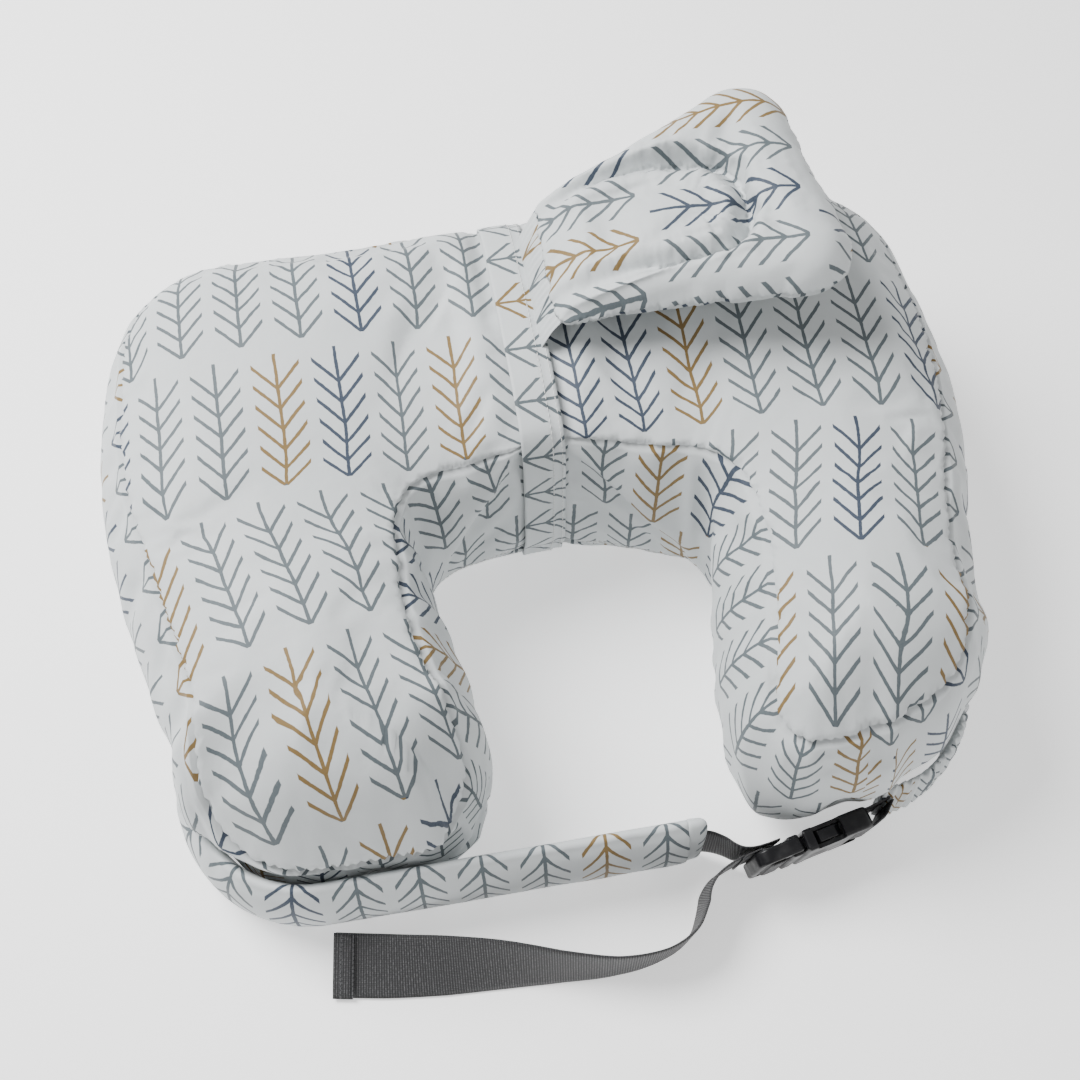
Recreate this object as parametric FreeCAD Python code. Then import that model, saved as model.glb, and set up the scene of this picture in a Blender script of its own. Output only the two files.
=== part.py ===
"""Nursing pillow: a U-shaped stuffed pillow with a head cushion on a band and a buckled waist belt.

Millimetres. +X runs along the back section towards the right arm, +Y towards the back and +Z up.
The origin is on the surface it rests on, below the middle of the whole. The opening faces -Y.
"""

import FreeCAD, Part
import math
import os

Vector = FreeCAD.Vector

# Pillow
PILLOW_HEIGHT = 168.0
BACK_Y = 214.0  # back wall
INNER_Y = 20.0  # inner wall behind the lap opening
FRONT_Y = -182.0  # arm tips
BACK_CORNER_X = 258.0
SHOULDER_X = 270.0
SHOULDER_Y = 50.0
TIP_OUTER_X = 214.0
RIGHT_TIP_INNER_X = 84.0
RIGHT_OPENING_CORNER_X = 108.0
LEFT_TIP_INNER_X = 60.0  # the left arm is the fatter one
LEFT_OPENING_CORNER_X = 90.0
BACK_CORNER_RADIUS = 92.0
SHOULDER_RADIUS = 300.0
TIP_OUTER_RADIUS = 62.0
TIP_INNER_RADIUS = 46.0
OPENING_CORNER_RADIUS = 38.0
EDGE_RADIUS = 26.0
FABRIC = 1.5  # cover fabric with its seam allowance
TOP_SEAM_Z = 150.0
UNDER_SEAM_Z = 18.0
TIP_SEAM_X = 150.0  # where the outer wall meets the inner wall on each arm tip

# Band that carries the head cushion
BAND_WIDTH = 26.0
BAND_THICKNESS = 2.0
BAND_GROOVE_DEPTH = 5.0
BAND_GROOVE_WIDTH = 28.0

# Head cushion, drawn flat with its hinge edge on x = 0, then tilted
HINGE_X = 15.0
HINGE_Z = 171.0
CUSHION_TILT = 13.0
CUSHION_THICKNESS = 36.0
CUSHION_FABRIC = 1.2
CUSHION_EDGE_RADIUS = 14.0
HINGE_FRONT_Y = 90.0
HINGE_BACK_Y = 190.0
CUSHION_NECK = 5.0  # width of the fabric hinge strip
CUSHION_LENGTH_BACK = 148.0
CUSHION_LENGTH_FRONT = 184.0
CUSHION_BACK_Y = 222.0
CUSHION_FRONT_Y = 58.0

# Filling zip in the back wall, on the left half
ZIP_Z = 37.0
ZIP_LEFT_X = -150.0
ZIP_RIGHT_X = -34.0
ZIP_SLOT_HEIGHT = 12.0
ZIP_POCKET_DEPTH = 8.0
TAPE_WIDTH = 9.0
TAPE_THICKNESS = 0.8
COIL_WIDTH = 2.2
COIL_THICKNESS = 2.0
COIL_GAP = 1.2
SLIDER_LENGTH = 9.0
SLIDER_HEIGHT = 8.0
SLIDER_PLATE = 1.1
PULL_LENGTH = 19.0
PULL_WIDTH = 5.0
PULL_THICKNESS = 1.0

# Waist belt, wrapped round the left arm tip
BELT_THICKNESS = 13.0
BELT_BOTTOM_Z = 1.0
BELT_HEIGHT = 62.0
BELT_GAP = 0.4  # from the pillow's wall
BELT_START_Y = -102.0
BELT_END_X = 52.0
BELT_CAP_LENGTH = 12.0

# Gathered sleeve with the anchor elastic, on the right arm tip
SLEEVE_THICKNESS = 7.0
SLEEVE_BOTTOM_Z = 6.0
SLEEVE_HEIGHT = 52.0
SLEEVE_START_Y = -68.0
SLEEVE_END_X = 168.0
ELASTIC_WIDTH = 38.0
ELASTIC_THICKNESS = 2.0

# Webbing
WEBBING_WIDTH = 38.0
WEBBING_THICKNESS = 1.6
HEM_LENGTH = 12.0

# Side-release buckle, drawn along u with v up and w towards the front
BUCKLE_START = Vector(82.0, -210.0, 27.0)
BUCKLE_YAW = 12.0
BUCKLE_LEAN = 8.0
BUCKLE_WIDTH = 50.0
FRAME_THICKNESS = 9.0
FRAME_LENGTH = 28.0
END_BAR_LENGTH = 5.0
SLOT_LENGTH = 4.5
CENTRE_BAR_LENGTH = 6.0
CENTRE_BAR_THICKNESS = 6.0
SLOT_WIDTH = 40.5
SOCKET_START = 30.0
SOCKET_END = 74.0
SOCKET_THICKNESS = 13.0
SOCKET_DEPTH = 27.0
SOCKET_HALF_CAVITY = 21.5
SOCKET_CAVITY_THICKNESS = 8.0
ANCHOR_SLOT_START = 61.0
ANCHOR_SLOT_LENGTH = 6.0
PRONG_LENGTH = 25.5
PRONG_THICKNESS = 6.8
PRONG_ARM = 3.5
PRONG_ROOT_V = 14.5
PRONG_CLEARANCE = 0.3


def point(pair):
    """A point on the XY plane."""
    return Vector(pair[0], pair[1], 0)


def rounded_edges(corners, radii, closed):
    """Straight runs between corners, with a tangent arc of its own radius at each corner."""
    count = len(corners)
    points = [point(c) for c in corners]
    arcs = []
    for i in range(count):
        inner = closed or 0 < i < count - 1
        if radii[i] == 0 or not inner:
            arcs.append((points[i], None, points[i]))
            continue
        towards_last = (points[i - 1] - points[i]).normalize()
        towards_next = (points[(i + 1) % count] - points[i]).normalize()
        half = towards_last.getAngle(towards_next) / 2
        reach = radii[i] / math.tan(half)
        middle = (towards_last + towards_next).normalize() * (radii[i] / math.sin(half) - radii[i])
        arcs.append((points[i] + towards_last * reach, points[i] + middle, points[i] + towards_next * reach))
    edges = []
    for i in range(count):
        start, through, end = arcs[i]
        if through is not None:
            edges.append(Part.Arc(start, through, end).toShape())
        if closed or i < count - 1:
            following = arcs[(i + 1) % count][0]
            if end.distanceToPoint(following) > 1e-6:
                edges.append(Part.LineSegment(end, following).toShape())
    return edges


def closed_outline(corners, radii):
    return Part.Wire(rounded_edges(corners, radii, True))


def open_path(corners, radii):
    return Part.Wire(rounded_edges(corners, radii, False))


def slab(outline, low, high):
    """An outline on the XY plane, extruded from one height to another."""
    solid = Part.Face(outline).extrude(Vector(0, 0, high - low))
    solid.translate(Vector(0, 0, low))
    return solid


def box(low, high):
    size = [b - a for a, b in zip(low, high)]
    return Part.makeBox(*size, Vector(*low))


def level_edges(solid, heights):
    """The edges of a solid that lie flat at one of the heights."""
    found = []
    for edge in solid.Edges:
        low, high = edge.BoundBox.ZMin, edge.BoundBox.ZMax
        if high - low < 1e-3 and any(abs(low - z) < 1e-3 for z in heights):
            found.append(edge)
    return found


def pillow_outline():
    """The U in plan: the outside first, then the lap opening."""
    right_outside = [
        (TIP_OUTER_X, FRONT_Y, TIP_OUTER_RADIUS),
        (SHOULDER_X, SHOULDER_Y, SHOULDER_RADIUS),
        (BACK_CORNER_X, BACK_Y, BACK_CORNER_RADIUS),
    ]
    right_inside = [
        (RIGHT_OPENING_CORNER_X, INNER_Y, OPENING_CORNER_RADIUS),
        (RIGHT_TIP_INNER_X, FRONT_Y, TIP_INNER_RADIUS),
    ]
    left_inside = [
        (-LEFT_TIP_INNER_X, FRONT_Y, TIP_INNER_RADIUS),
        (-LEFT_OPENING_CORNER_X, INNER_Y, OPENING_CORNER_RADIUS),
    ]
    left_outside = [(-x, y, r) for x, y, r in reversed(right_outside)]
    corners = right_outside + left_outside + left_inside + right_inside
    return closed_outline([c[:2] for c in corners], [c[2] for c in corners])


def back_section(inset, half_width):
    """The back section's rounded cross-section, extruded along X each way from the middle."""
    radius = EDGE_RADIUS - inset
    low_y, high_y = INNER_Y + inset, BACK_Y - inset
    low_z, high_z = inset, PILLOW_HEIGHT - inset
    corners = [(low_y, low_z), (high_y, low_z), (high_y, high_z), (low_y, high_z)]
    section = slab(closed_outline(corners, [radius] * 4), -half_width, half_width)
    section.rotate(Vector(0, 0, 0), Vector(1, 1, 1), 120)
    return section


def pillow_solid(inset):
    """The stuffed pillow, waisted where the band pulls it in."""
    outline = pillow_outline()
    if inset:
        outline = outline.makeOffset2D(-inset)
    low, high = inset, PILLOW_HEIGHT - inset
    solid = slab(outline, low, high)
    solid = solid.makeFillet(EDGE_RADIUS - inset, level_edges(solid, (low, high)))
    half_groove = BAND_GROOVE_WIDTH / 2 + inset
    around = box((-half_groove, INNER_Y - 5, -5), (half_groove, BACK_Y + 5, PILLOW_HEIGHT + 5))
    return solid.cut(around.cut(back_section(BAND_GROOVE_DEPTH + inset, half_groove)))


def zip_pocket():
    """Room behind the back wall for the zip."""
    return box(
        (ZIP_LEFT_X - 6, BACK_Y - ZIP_POCKET_DEPTH, ZIP_Z - TAPE_WIDTH - 4),
        (ZIP_RIGHT_X + 6, BACK_Y - FABRIC, ZIP_Z + TAPE_WIDTH + 4),
    )


def zip_slot():
    return box(
        (ZIP_LEFT_X, BACK_Y - 2 * FABRIC, ZIP_Z - ZIP_SLOT_HEIGHT / 2),
        (ZIP_RIGHT_X, BACK_Y + FABRIC, ZIP_Z + ZIP_SLOT_HEIGHT / 2),
    )


def pillow_parts():
    """The filling and the four panels of its cover, cut apart along the seams."""
    filling = pillow_solid(FABRIC)
    cover = pillow_solid(0).cut(filling)
    far = 400.0
    above = box((-far, -far, TOP_SEAM_Z), (far, far, far))
    below = box((-far, -far, -far), (far, far, UNDER_SEAM_Z))
    walls = cover.cut(above).cut(below)
    opening_side = box((-TIP_SEAM_X, -far, -far), (TIP_SEAM_X, (INNER_Y + BACK_Y) / 2, far))
    return {
        "fibre_fill": filling.cut(zip_pocket()),
        "cover_top_panel": cover.common(above),
        "cover_under_panel": cover.common(below),
        "cover_inner_wall": walls.common(opening_side),
        "cover_outer_wall": walls.cut(opening_side).cut(zip_slot()),
    }


def zip_rows():
    """Two tapes behind the slot in the back wall, each with its row of coil."""
    tape_y = BACK_Y - FABRIC
    parts = {}
    for name, side in (("upper", 1), ("lower", -1)):
        tape_near = ZIP_Z + side * COIL_GAP / 2
        tape_far = ZIP_Z + side * (TAPE_WIDTH + COIL_GAP / 2)
        low, high = sorted((tape_near, tape_far))
        parts["zip_tape_" + name] = box(
            (ZIP_LEFT_X - 4, tape_y - TAPE_THICKNESS, low), (ZIP_RIGHT_X + 4, tape_y, high)
        )
        low, high = sorted((tape_near, tape_near + side * COIL_WIDTH))
        coil_y = tape_y - TAPE_THICKNESS
        parts["zip_coil_" + name] = box(
            (ZIP_LEFT_X + 3, coil_y - COIL_THICKNESS, low), (ZIP_RIGHT_X - 3, coil_y, high)
        )
    return parts


def zip_end_stops():
    """A crimped metal stop over both coils at each end."""
    high_y = BACK_Y - FABRIC - TAPE_THICKNESS
    stops = []
    for low_x in (ZIP_LEFT_X, ZIP_RIGHT_X - 3):
        stops.append(box((low_x, high_y - COIL_THICKNESS, ZIP_Z - 3), (low_x + 3, high_y, ZIP_Z + 3)))
    return Part.makeCompound(stops)


def slider_x():
    """The slider's middle with the zip closed."""
    return ZIP_RIGHT_X - 3 - SLIDER_LENGTH / 2 - 0.5


def zip_slider():
    """Front and back plates joined by a neck between the coil rows, with a bail for the pull."""
    middle = slider_x()
    low_x, high_x = middle - SLIDER_LENGTH / 2, middle + SLIDER_LENGTH / 2
    low_z, high_z = ZIP_Z - SLIDER_HEIGHT / 2, ZIP_Z + SLIDER_HEIGHT / 2
    front_y = BACK_Y - FABRIC + 0.4
    back_y = BACK_Y - FABRIC - TAPE_THICKNESS - COIL_THICKNESS - 0.4
    front = box((low_x, front_y, low_z), (high_x, front_y + SLIDER_PLATE, high_z))
    back = box((low_x, back_y - SLIDER_PLATE, low_z), (high_x, back_y, high_z))
    neck_half = COIL_GAP / 2 - 0.2
    neck = box((middle - 1.5, back_y, ZIP_Z - neck_half), (middle + 1.5, front_y, ZIP_Z + neck_half))
    bail = []
    for side in (-1, 1):
        inner_x = middle + side * (PULL_WIDTH / 2 + 0.3)
        outer_x = inner_x + side * 1.0
        near_x, far_x = sorted((inner_x, outer_x))
        low = (near_x, front_y + SLIDER_PLATE, ZIP_Z - 1.5)
        bail.append(box(low, (far_x, pull_hinge_y() + 1.2, ZIP_Z + 1.5)))
    return front.fuse([back, neck] + bail)


def pull_hinge_y():
    return BACK_Y - FABRIC + 0.4 + SLIDER_PLATE + 1.6


def zip_pull():
    """A flat tab that hangs from the slider's bail."""
    middle = slider_x()
    axis_y = pull_hinge_y()
    low_x, high_x = middle - PULL_WIDTH / 2, middle + PULL_WIDTH / 2
    tab = box(
        (low_x, axis_y - PULL_THICKNESS / 2, ZIP_Z - PULL_LENGTH),
        (high_x, axis_y + PULL_THICKNESS / 2, ZIP_Z),
    )
    barrel = Part.makeCylinder(1.1, PULL_WIDTH, Vector(low_x, axis_y, ZIP_Z), Vector(1, 0, 0))
    hole = Part.makeCylinder(1.4, 10, Vector(middle, axis_y - 5, ZIP_Z - PULL_LENGTH + 3.4), Vector(0, 1, 0))
    return tab.fuse(barrel).cut(hole)


def head_band():
    """The loop of fabric round the back section."""
    half = BAND_WIDTH / 2
    outer = back_section(BAND_GROOVE_DEPTH - BAND_THICKNESS, half)
    return outer.cut(back_section(BAND_GROOVE_DEPTH, half))


def cushion_outline(inset):
    """The head cushion in its own plane: the hinge edge at x = 0, wider and longer at the far end."""
    corners = [
        (CUSHION_NECK, HINGE_FRONT_Y),
        (CUSHION_LENGTH_FRONT, CUSHION_FRONT_Y),
        (CUSHION_LENGTH_BACK, CUSHION_BACK_Y),
        (CUSHION_NECK, HINGE_BACK_Y),
    ]
    outline = closed_outline(corners, [15.0, 30.0, 34.0, 15.0])
    return outline.makeOffset2D(-inset) if inset else outline


def cushion_solid(inset):
    low, high = inset, CUSHION_THICKNESS - inset
    solid = slab(cushion_outline(inset), low, high)
    return solid.makeFillet(CUSHION_EDGE_RADIUS - inset, level_edges(solid, (low, high)))


def place_cushion(shape):
    """From the cushion's own plane to its place at the hinge."""
    placed = shape.copy()
    placed.rotate(Vector(0, 0, 0), Vector(0, 1, 0), -CUSHION_TILT)
    placed.translate(Vector(HINGE_X, 0, HINGE_Z))
    return placed


def head_cushion_parts():
    filling = cushion_solid(CUSHION_FABRIC)
    cover = cushion_solid(0).cut(filling)
    far = 400.0
    upper = box((-far, -far, CUSHION_THICKNESS / 2), (far, far, far))
    seam_z = CUSHION_THICKNESS / 2
    strip = box(
        (0.4, HINGE_FRONT_Y + 16, 0.5), (CUSHION_NECK - 0.2, HINGE_BACK_Y - 16, 0.5 + BAND_THICKNESS)
    )
    rise = box(
        (CUSHION_NECK - 2.2, HINGE_FRONT_Y + 16, 0.5), (CUSHION_NECK - 0.2, HINGE_BACK_Y - 16, seam_z)
    )
    parts = {
        "head_cushion_fill": filling,
        "head_cushion_top_cover": cover.common(upper),
        "head_cushion_under_cover": cover.cut(upper),
        "head_cushion_hinge_strip": strip.fuse(rise),
    }
    return {name: place_cushion(shape) for name, shape in parts.items()}


def wrap_path(side, offset, start_y, end_x):
    """A path round an arm tip, at an offset from the pillow's wall. side is -1 on the left arm."""
    run = Vector(TIP_OUTER_X - SHOULDER_X, FRONT_Y - SHOULDER_Y, 0)
    slope = run.x / run.y
    shift = offset * run.Length / abs(run.y)
    front = FRONT_Y - offset
    start_x = SHOULDER_X + (start_y - SHOULDER_Y) * slope + shift
    corner_x = SHOULDER_X + (front - SHOULDER_Y) * slope + shift
    corners = [(side * start_x, start_y), (side * corner_x, front), (end_x, front)]
    return open_path(corners, [0, TIP_OUTER_RADIUS + offset, 0])


def wrap_strip(path, half_thickness, low, high):
    return slab(path.makeOffset2D(half_thickness, 0, False, False), low, high)


def belt_parts():
    """The padded belt: foam in a fabric cover that is open at its end, and the cap that closes it."""
    path = wrap_path(-1, BELT_GAP + BELT_THICKNESS / 2, BELT_START_Y, BELT_END_X)
    skin = 1.2
    top = BELT_BOTTOM_Z + BELT_HEIGHT
    outer = wrap_strip(path, BELT_THICKNESS / 2, BELT_BOTTOM_Z, top)
    foam = wrap_strip(path, BELT_THICKNESS / 2 - skin, BELT_BOTTOM_Z + skin, top - skin)
    far = 400.0
    beyond = box((BELT_END_X - BELT_CAP_LENGTH, -far, -far), (far, far, far))
    return {
        "belt_foam": foam.cut(beyond),
        "belt_cover": outer.cut(beyond).cut(foam),
        "belt_end_cap": outer.common(beyond),
    }


def sleeve_parts():
    """The gathered sleeve round the right arm tip, and the elastic inside it."""
    path = wrap_path(1, BELT_GAP + SLEEVE_THICKNESS / 2, SLEEVE_START_Y, SLEEVE_END_X)
    outer = wrap_strip(path, SLEEVE_THICKNESS / 2, SLEEVE_BOTTOM_Z, SLEEVE_BOTTOM_Z + SLEEVE_HEIGHT)
    margin = (SLEEVE_HEIGHT - ELASTIC_WIDTH) / 2
    low = SLEEVE_BOTTOM_Z + margin
    elastic = wrap_strip(path, ELASTIC_THICKNESS / 2, low, low + ELASTIC_WIDTH)
    mouth = box((0, -400, -10), (SLEEVE_END_X, 0, 200))
    return {"anchor_sleeve": outer.cut(elastic).cut(mouth), "anchor_elastic": elastic.cut(mouth)}


def buckle_directions():
    """The buckle's own axes in the pillow's frame: along, up its width, and out of its front."""
    yaw, lean = math.radians(BUCKLE_YAW), math.radians(BUCKLE_LEAN)
    along = Vector(math.cos(yaw), math.sin(yaw), 0)
    front = Vector(math.sin(yaw), -math.cos(yaw), 0)
    up = Vector(0, 0, 1)
    return along, up * math.cos(lean) + front * math.sin(lean), front * math.cos(lean) - up * math.sin(lean)


def place_buckle(shape):
    along, width, front = buckle_directions()
    matrix = FreeCAD.Matrix(
        along.x, width.x, front.x, BUCKLE_START.x,
        along.y, width.y, front.y, BUCKLE_START.y,
        along.z, width.z, front.z, BUCKLE_START.z,
        0, 0, 0, 1,
    )
    placed = shape.copy()
    placed.Placement = FreeCAD.Placement(matrix).multiply(placed.Placement)
    return placed


def buckle_point(u, v, w):
    along, width, front = buckle_directions()
    return BUCKLE_START + along * u + width * v + front * w


def slot_cut(start, length):
    """A through slot for the webbing, with round ends."""
    half = SLOT_WIDTH / 2
    corners = [(start, -half), (start + length, -half), (start + length, half), (start, half)]
    return slab(closed_outline(corners, [length / 2 - 0.3] * 4), -20, 20)


def buckle_frame():
    """The plug's ladder-lock frame and its centre guide."""
    half = BUCKLE_WIDTH / 2
    outline = closed_outline(
        [(0, -half), (FRAME_LENGTH, -half), (FRAME_LENGTH, half), (0, half)], [8.0, 3.0, 3.0, 8.0]
    )
    body = slab(outline, -FRAME_THICKNESS / 2, FRAME_THICKNESS / 2)
    body = body.makeFillet(1.6, level_edges(body, (-FRAME_THICKNESS / 2, FRAME_THICKNESS / 2)))
    centre_bar_start = END_BAR_LENGTH + SLOT_LENGTH
    second_slot = centre_bar_start + CENTRE_BAR_LENGTH
    body = body.cut(slot_cut(END_BAR_LENGTH, SLOT_LENGTH)).cut(slot_cut(second_slot, SLOT_LENGTH))
    for side in (-1, 1):
        low, high = sorted((side * CENTRE_BAR_THICKNESS / 2, side * 20.0))
        near_corner = (centre_bar_start - 0.1, -SLOT_WIDTH / 2, low)
        body = body.cut(box(near_corner, (second_slot + 0.1, SLOT_WIDTH / 2, high)))
    shoulder_start = second_slot + SLOT_LENGTH + 0.8
    shoulder_half = SOCKET_THICKNESS / 2 - 0.4
    shoulder = box((shoulder_start, -half + 3, -shoulder_half), (FRAME_LENGTH, half - 3, shoulder_half))
    shoulder = shoulder.makeFillet(1.5, shoulder.Edges)
    guide = box((FRAME_LENGTH - 2, -4.0, -3.0), (FRAME_LENGTH + PRONG_LENGTH - 3, 4.0, 3.0))
    guide = guide.makeFillet(1.2, guide.Edges)
    return place_buckle(body.fuse([shoulder, guide]))


def buckle_prong(side):
    """One springy latch prong, with the pad that shows in the socket's side window."""
    root = FRAME_LENGTH + PRONG_CLEARANCE
    tip = FRAME_LENGTH + PRONG_LENGTH
    near, far = PRONG_ROOT_V - PRONG_ARM / 2, PRONG_ROOT_V + PRONG_ARM / 2
    pad = SOCKET_HALF_CAVITY - 0.5
    corners = [(root, near), (tip - 9, near + 0.5), (tip, near + 3), (tip, pad - 2), (tip - 3, pad),
               (tip - 14, pad), (tip - 16, far), (root, far)]
    radii = [0.8, 4.0, 1.2, 1.0, 1.5, 0.8, 1.5, 0.8]
    corners = [(u, side * v) for u, v in corners]
    prong = slab(closed_outline(corners, radii), -PRONG_THICKNESS / 2, PRONG_THICKNESS / 2)
    prong = prong.makeFillet(0.7, level_edges(prong, (-PRONG_THICKNESS / 2, PRONG_THICKNESS / 2)))
    return place_buckle(prong)


def buckle_socket():
    """The socket: an open mouth, a finger window in each side, and a bar for the anchor webbing."""
    half = BUCKLE_WIDTH / 2
    outline = closed_outline(
        [(SOCKET_START, -half), (SOCKET_END - 12, -half), (SOCKET_END, -half + 2),
         (SOCKET_END, half - 2), (SOCKET_END - 12, half), (SOCKET_START, half)],
        [1.5, 30.0, 9.0, 9.0, 30.0, 1.5],
    )
    half_thick = SOCKET_THICKNESS / 2
    shell = slab(outline, -half_thick, half_thick)
    shell = shell.makeFillet(2.2, level_edges(shell, (-half_thick, half_thick)))
    cavity_half = SOCKET_CAVITY_THICKNESS / 2
    cavity = box(
        (SOCKET_START - 1, -SOCKET_HALF_CAVITY, -cavity_half),
        (SOCKET_START + SOCKET_DEPTH, SOCKET_HALF_CAVITY, cavity_half),
    )
    shell = shell.cut(cavity).cut(slot_cut(ANCHOR_SLOT_START, ANCHOR_SLOT_LENGTH))
    for side in (-1, 1):
        low, high = sorted((side * (half - 6.0), side * (half + 5.0)))
        corners = [(SOCKET_START + 6, low), (SOCKET_START + 24, low), (SOCKET_START + 24, high),
                   (SOCKET_START + 6, high)]
        inner_radii = [3.0, 3.0, 0, 0] if side > 0 else [0, 0, 3.0, 3.0]
        shell = shell.cut(slab(closed_outline(corners, inner_radii), -half_thick - 1, half_thick + 1))
    end_bar_start = ANCHOR_SLOT_START + ANCHOR_SLOT_LENGTH
    for side in (-1, 1):
        low, high = sorted((side * 3.4, side * 20.0))
        near_corner = (end_bar_start - 0.1, -SLOT_WIDTH / 2, low)
        shell = shell.cut(box(near_corner, (SOCKET_END + 1, SLOT_WIDTH / 2, high)))
    return place_buckle(shell)


def local_webbing(corners, radii):
    """Webbing bent round a bar: a path across the buckle's thickness, as wide as the webbing."""
    path = open_path(corners, radii)
    half = WEBBING_WIDTH / 2
    solid = slab(path.makeOffset2D(WEBBING_THICKNESS / 2, 0, False, False), -half, half)
    solid.rotate(Vector(0, 0, 0), Vector(1, 0, 0), 90)
    return place_buckle(solid)


def webbing_wrap():
    """The webbing through the ladder lock: in from behind, over the centre bar and out behind."""
    front = FRAME_THICKNESS / 2 + 0.6
    back = FRAME_THICKNESS / 2 + 0.3 + WEBBING_THICKNESS / 2
    first = END_BAR_LENGTH + SLOT_LENGTH / 2
    second = first + SLOT_LENGTH + CENTRE_BAR_LENGTH
    corners = [(second, -back + 0.6), (second, front), (first, front), (first, -back), (-3.0, -back)]
    return local_webbing(corners, [0, 2.2, 2.2, 1.4, 0])


def anchor_webbing():
    """The webbing looped round the socket's bar, both layers running back to the sleeve's mouth."""
    slot_middle = ANCHOR_SLOT_START + ANCHOR_SLOT_LENGTH / 2
    front = buckle_directions()[2]
    mouth = Vector(SLEEVE_END_X, FRONT_Y - BELT_GAP - SLEEVE_THICKNESS / 2, BUCKLE_START.z)
    mouth_w = (mouth - BUCKLE_START).dot(front)
    layer = 4.6
    half_gap = WEBBING_THICKNESS / 2 + 0.1
    end = SOCKET_END + 20.0
    corners = [
        (end, mouth_w - half_gap), (SOCKET_END + 1.0, -layer), (slot_middle, -layer),
        (slot_middle, layer), (SOCKET_END + 1.0, layer), (end, mouth_w + half_gap),
    ]
    loop = local_webbing(corners, [0, 6.0, 2.6, 2.6, 6.0, 0])
    return loop.cut(box((SLEEVE_END_X, -400, -10), (400, 0, 200)))


def webbing_section(centre, width, normal):
    """One cross-section of flat webbing."""
    half_width = Vector(width).normalize() * (WEBBING_WIDTH / 2)
    half_thick = Vector(normal).normalize() * (WEBBING_THICKNESS / 2)
    corners = [centre + half_width + half_thick, centre - half_width + half_thick,
               centre - half_width - half_thick, centre + half_width - half_thick]
    return Part.makePolygon(corners + corners[:1])


def webbing_run(sections):
    """Flat webbing lofted through its cross-sections. Normals all point to the same side of it."""
    wires = []
    for centre, width, normal in sections:
        along = width.cross(normal)
        square_normal = along.cross(width)
        wires.append(webbing_section(centre, Vector(width), square_normal))
    return Part.makeLoft(wires, True, True)


def belt_webbing():
    """From the belt's end cap to the back of the ladder lock, clear behind the sliding frame."""
    width, front = buckle_directions()[1:]
    belt_y = FRONT_Y - BELT_GAP - BELT_THICKNESS / 2
    middle_z = BUCKLE_START.z
    layer = FRAME_THICKNESS / 2 + 0.6 + 1.5 * WEBBING_THICKNESS
    second_slot = 1.5 * SLOT_LENGTH + END_BAR_LENGTH + CENTRE_BAR_LENGTH
    upright = Vector(0, 0, 1)
    cap_face = BELT_END_X + BELT_THICKNESS / 2
    sections = [
        (Vector(cap_face, belt_y, middle_z), upright, Vector(0, -1, 0)),
        (buckle_point(2.0, 0, -layer - 1.0), width, front),
        (buckle_point(second_slot + WEBBING_THICKNESS / 2, 0, -layer), width, front),
    ]
    return webbing_run(sections)


# The loose end of the webbing: its middle line, and the way its upper edge lies from that line.
TAIL_ROUTE = [
    (76.0, -205.2, 27.0),
    (64.0, -209.0, 27.5),
    (54.0, -217.0, 24.0),
    (49.0, -229.0, 20.6),
    (42.0, -241.0, 20.0),
    (24.0, -250.0, 19.8),
    (-4.0, -252.0, 19.8),
    (-36.0, -246.0, 19.2),
    (-70.0, -238.0, 17.4),
    (-104.0, -232.0, 14.0),
    (-138.0, -226.0, 11.4),
    (-166.0, -220.0, 10.8),
]
TAIL_ROLL = [98, 98, 98, 97, 96, 94, 88, 76, 58, 42, 32, 30]


def tail_sections():
    """Cross-sections of the loose end. The roll is 90 degrees on edge and 0 degrees flat."""
    points = [Vector(*p) for p in TAIL_ROUTE]
    sections = []
    for i, roll in enumerate(TAIL_ROLL):
        ahead = points[min(i + 1, len(points) - 1)]
        behind = points[max(i - 1, 0)]
        along = (ahead - behind).normalize()
        away = Vector(along.y, -along.x, 0).normalize()
        angle = math.radians(roll)
        width = away * math.cos(angle) + Vector(0, 0, 1) * math.sin(angle)
        width = width - along * width.dot(along)
        sections.append((points[i], width.normalize(), width.cross(along)))
    return sections


def webbing_tail_hem():
    """The end of the webbing folded back on its front and sewn down."""
    end, width, normal = tail_sections()[-1]
    before, width_before, normal_before = tail_sections()[-2]
    part = HEM_LENGTH / (end - before).Length
    lift = WEBBING_THICKNESS + 0.1
    folded = [(end, width, normal)]
    folded.append((end + (before - end) * part, width + (width_before - width) * part,
                   normal + (normal_before - normal) * part))
    return webbing_run([(centre + n * lift, w, n) for centre, w, n in folded])


def main():
    os.makedirs("parts", exist_ok=True)
    nodes = {}
    nodes.update(pillow_parts())
    nodes.update(zip_rows())
    nodes["zip_end_stops"] = zip_end_stops()
    nodes["zip_slider"] = zip_slider()
    nodes["zip_pull"] = zip_pull()
    nodes["head_band"] = head_band()
    nodes.update(head_cushion_parts())
    nodes.update(belt_parts())
    nodes.update(sleeve_parts())
    nodes["belt_webbing"] = belt_webbing()
    nodes["anchor_webbing"] = anchor_webbing()
    nodes["buckle_socket"] = buckle_socket()
    nodes["buckle_frame"] = buckle_frame()
    nodes["buckle_prong_upper"] = buckle_prong(1)
    nodes["buckle_prong_lower"] = buckle_prong(-1)
    nodes["webbing_wrap"] = webbing_wrap()
    nodes["webbing_tail"] = webbing_run(tail_sections())
    nodes["webbing_tail_hem"] = webbing_tail_hem()
    for name, shape in nodes.items():
        shape.exportStep("parts/" + name + ".step")
        print(name, "solids", len(shape.Solids), "valid", shape.isValid(), shape.BoundBox)


main()
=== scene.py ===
"""The nursing pillow's visual model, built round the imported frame. Metres, in the frame's own axes."""

import math

import bpy
import numpy as np
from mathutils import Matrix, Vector, geometry, noise
from mathutils.bvhtree import BVHTree


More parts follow.
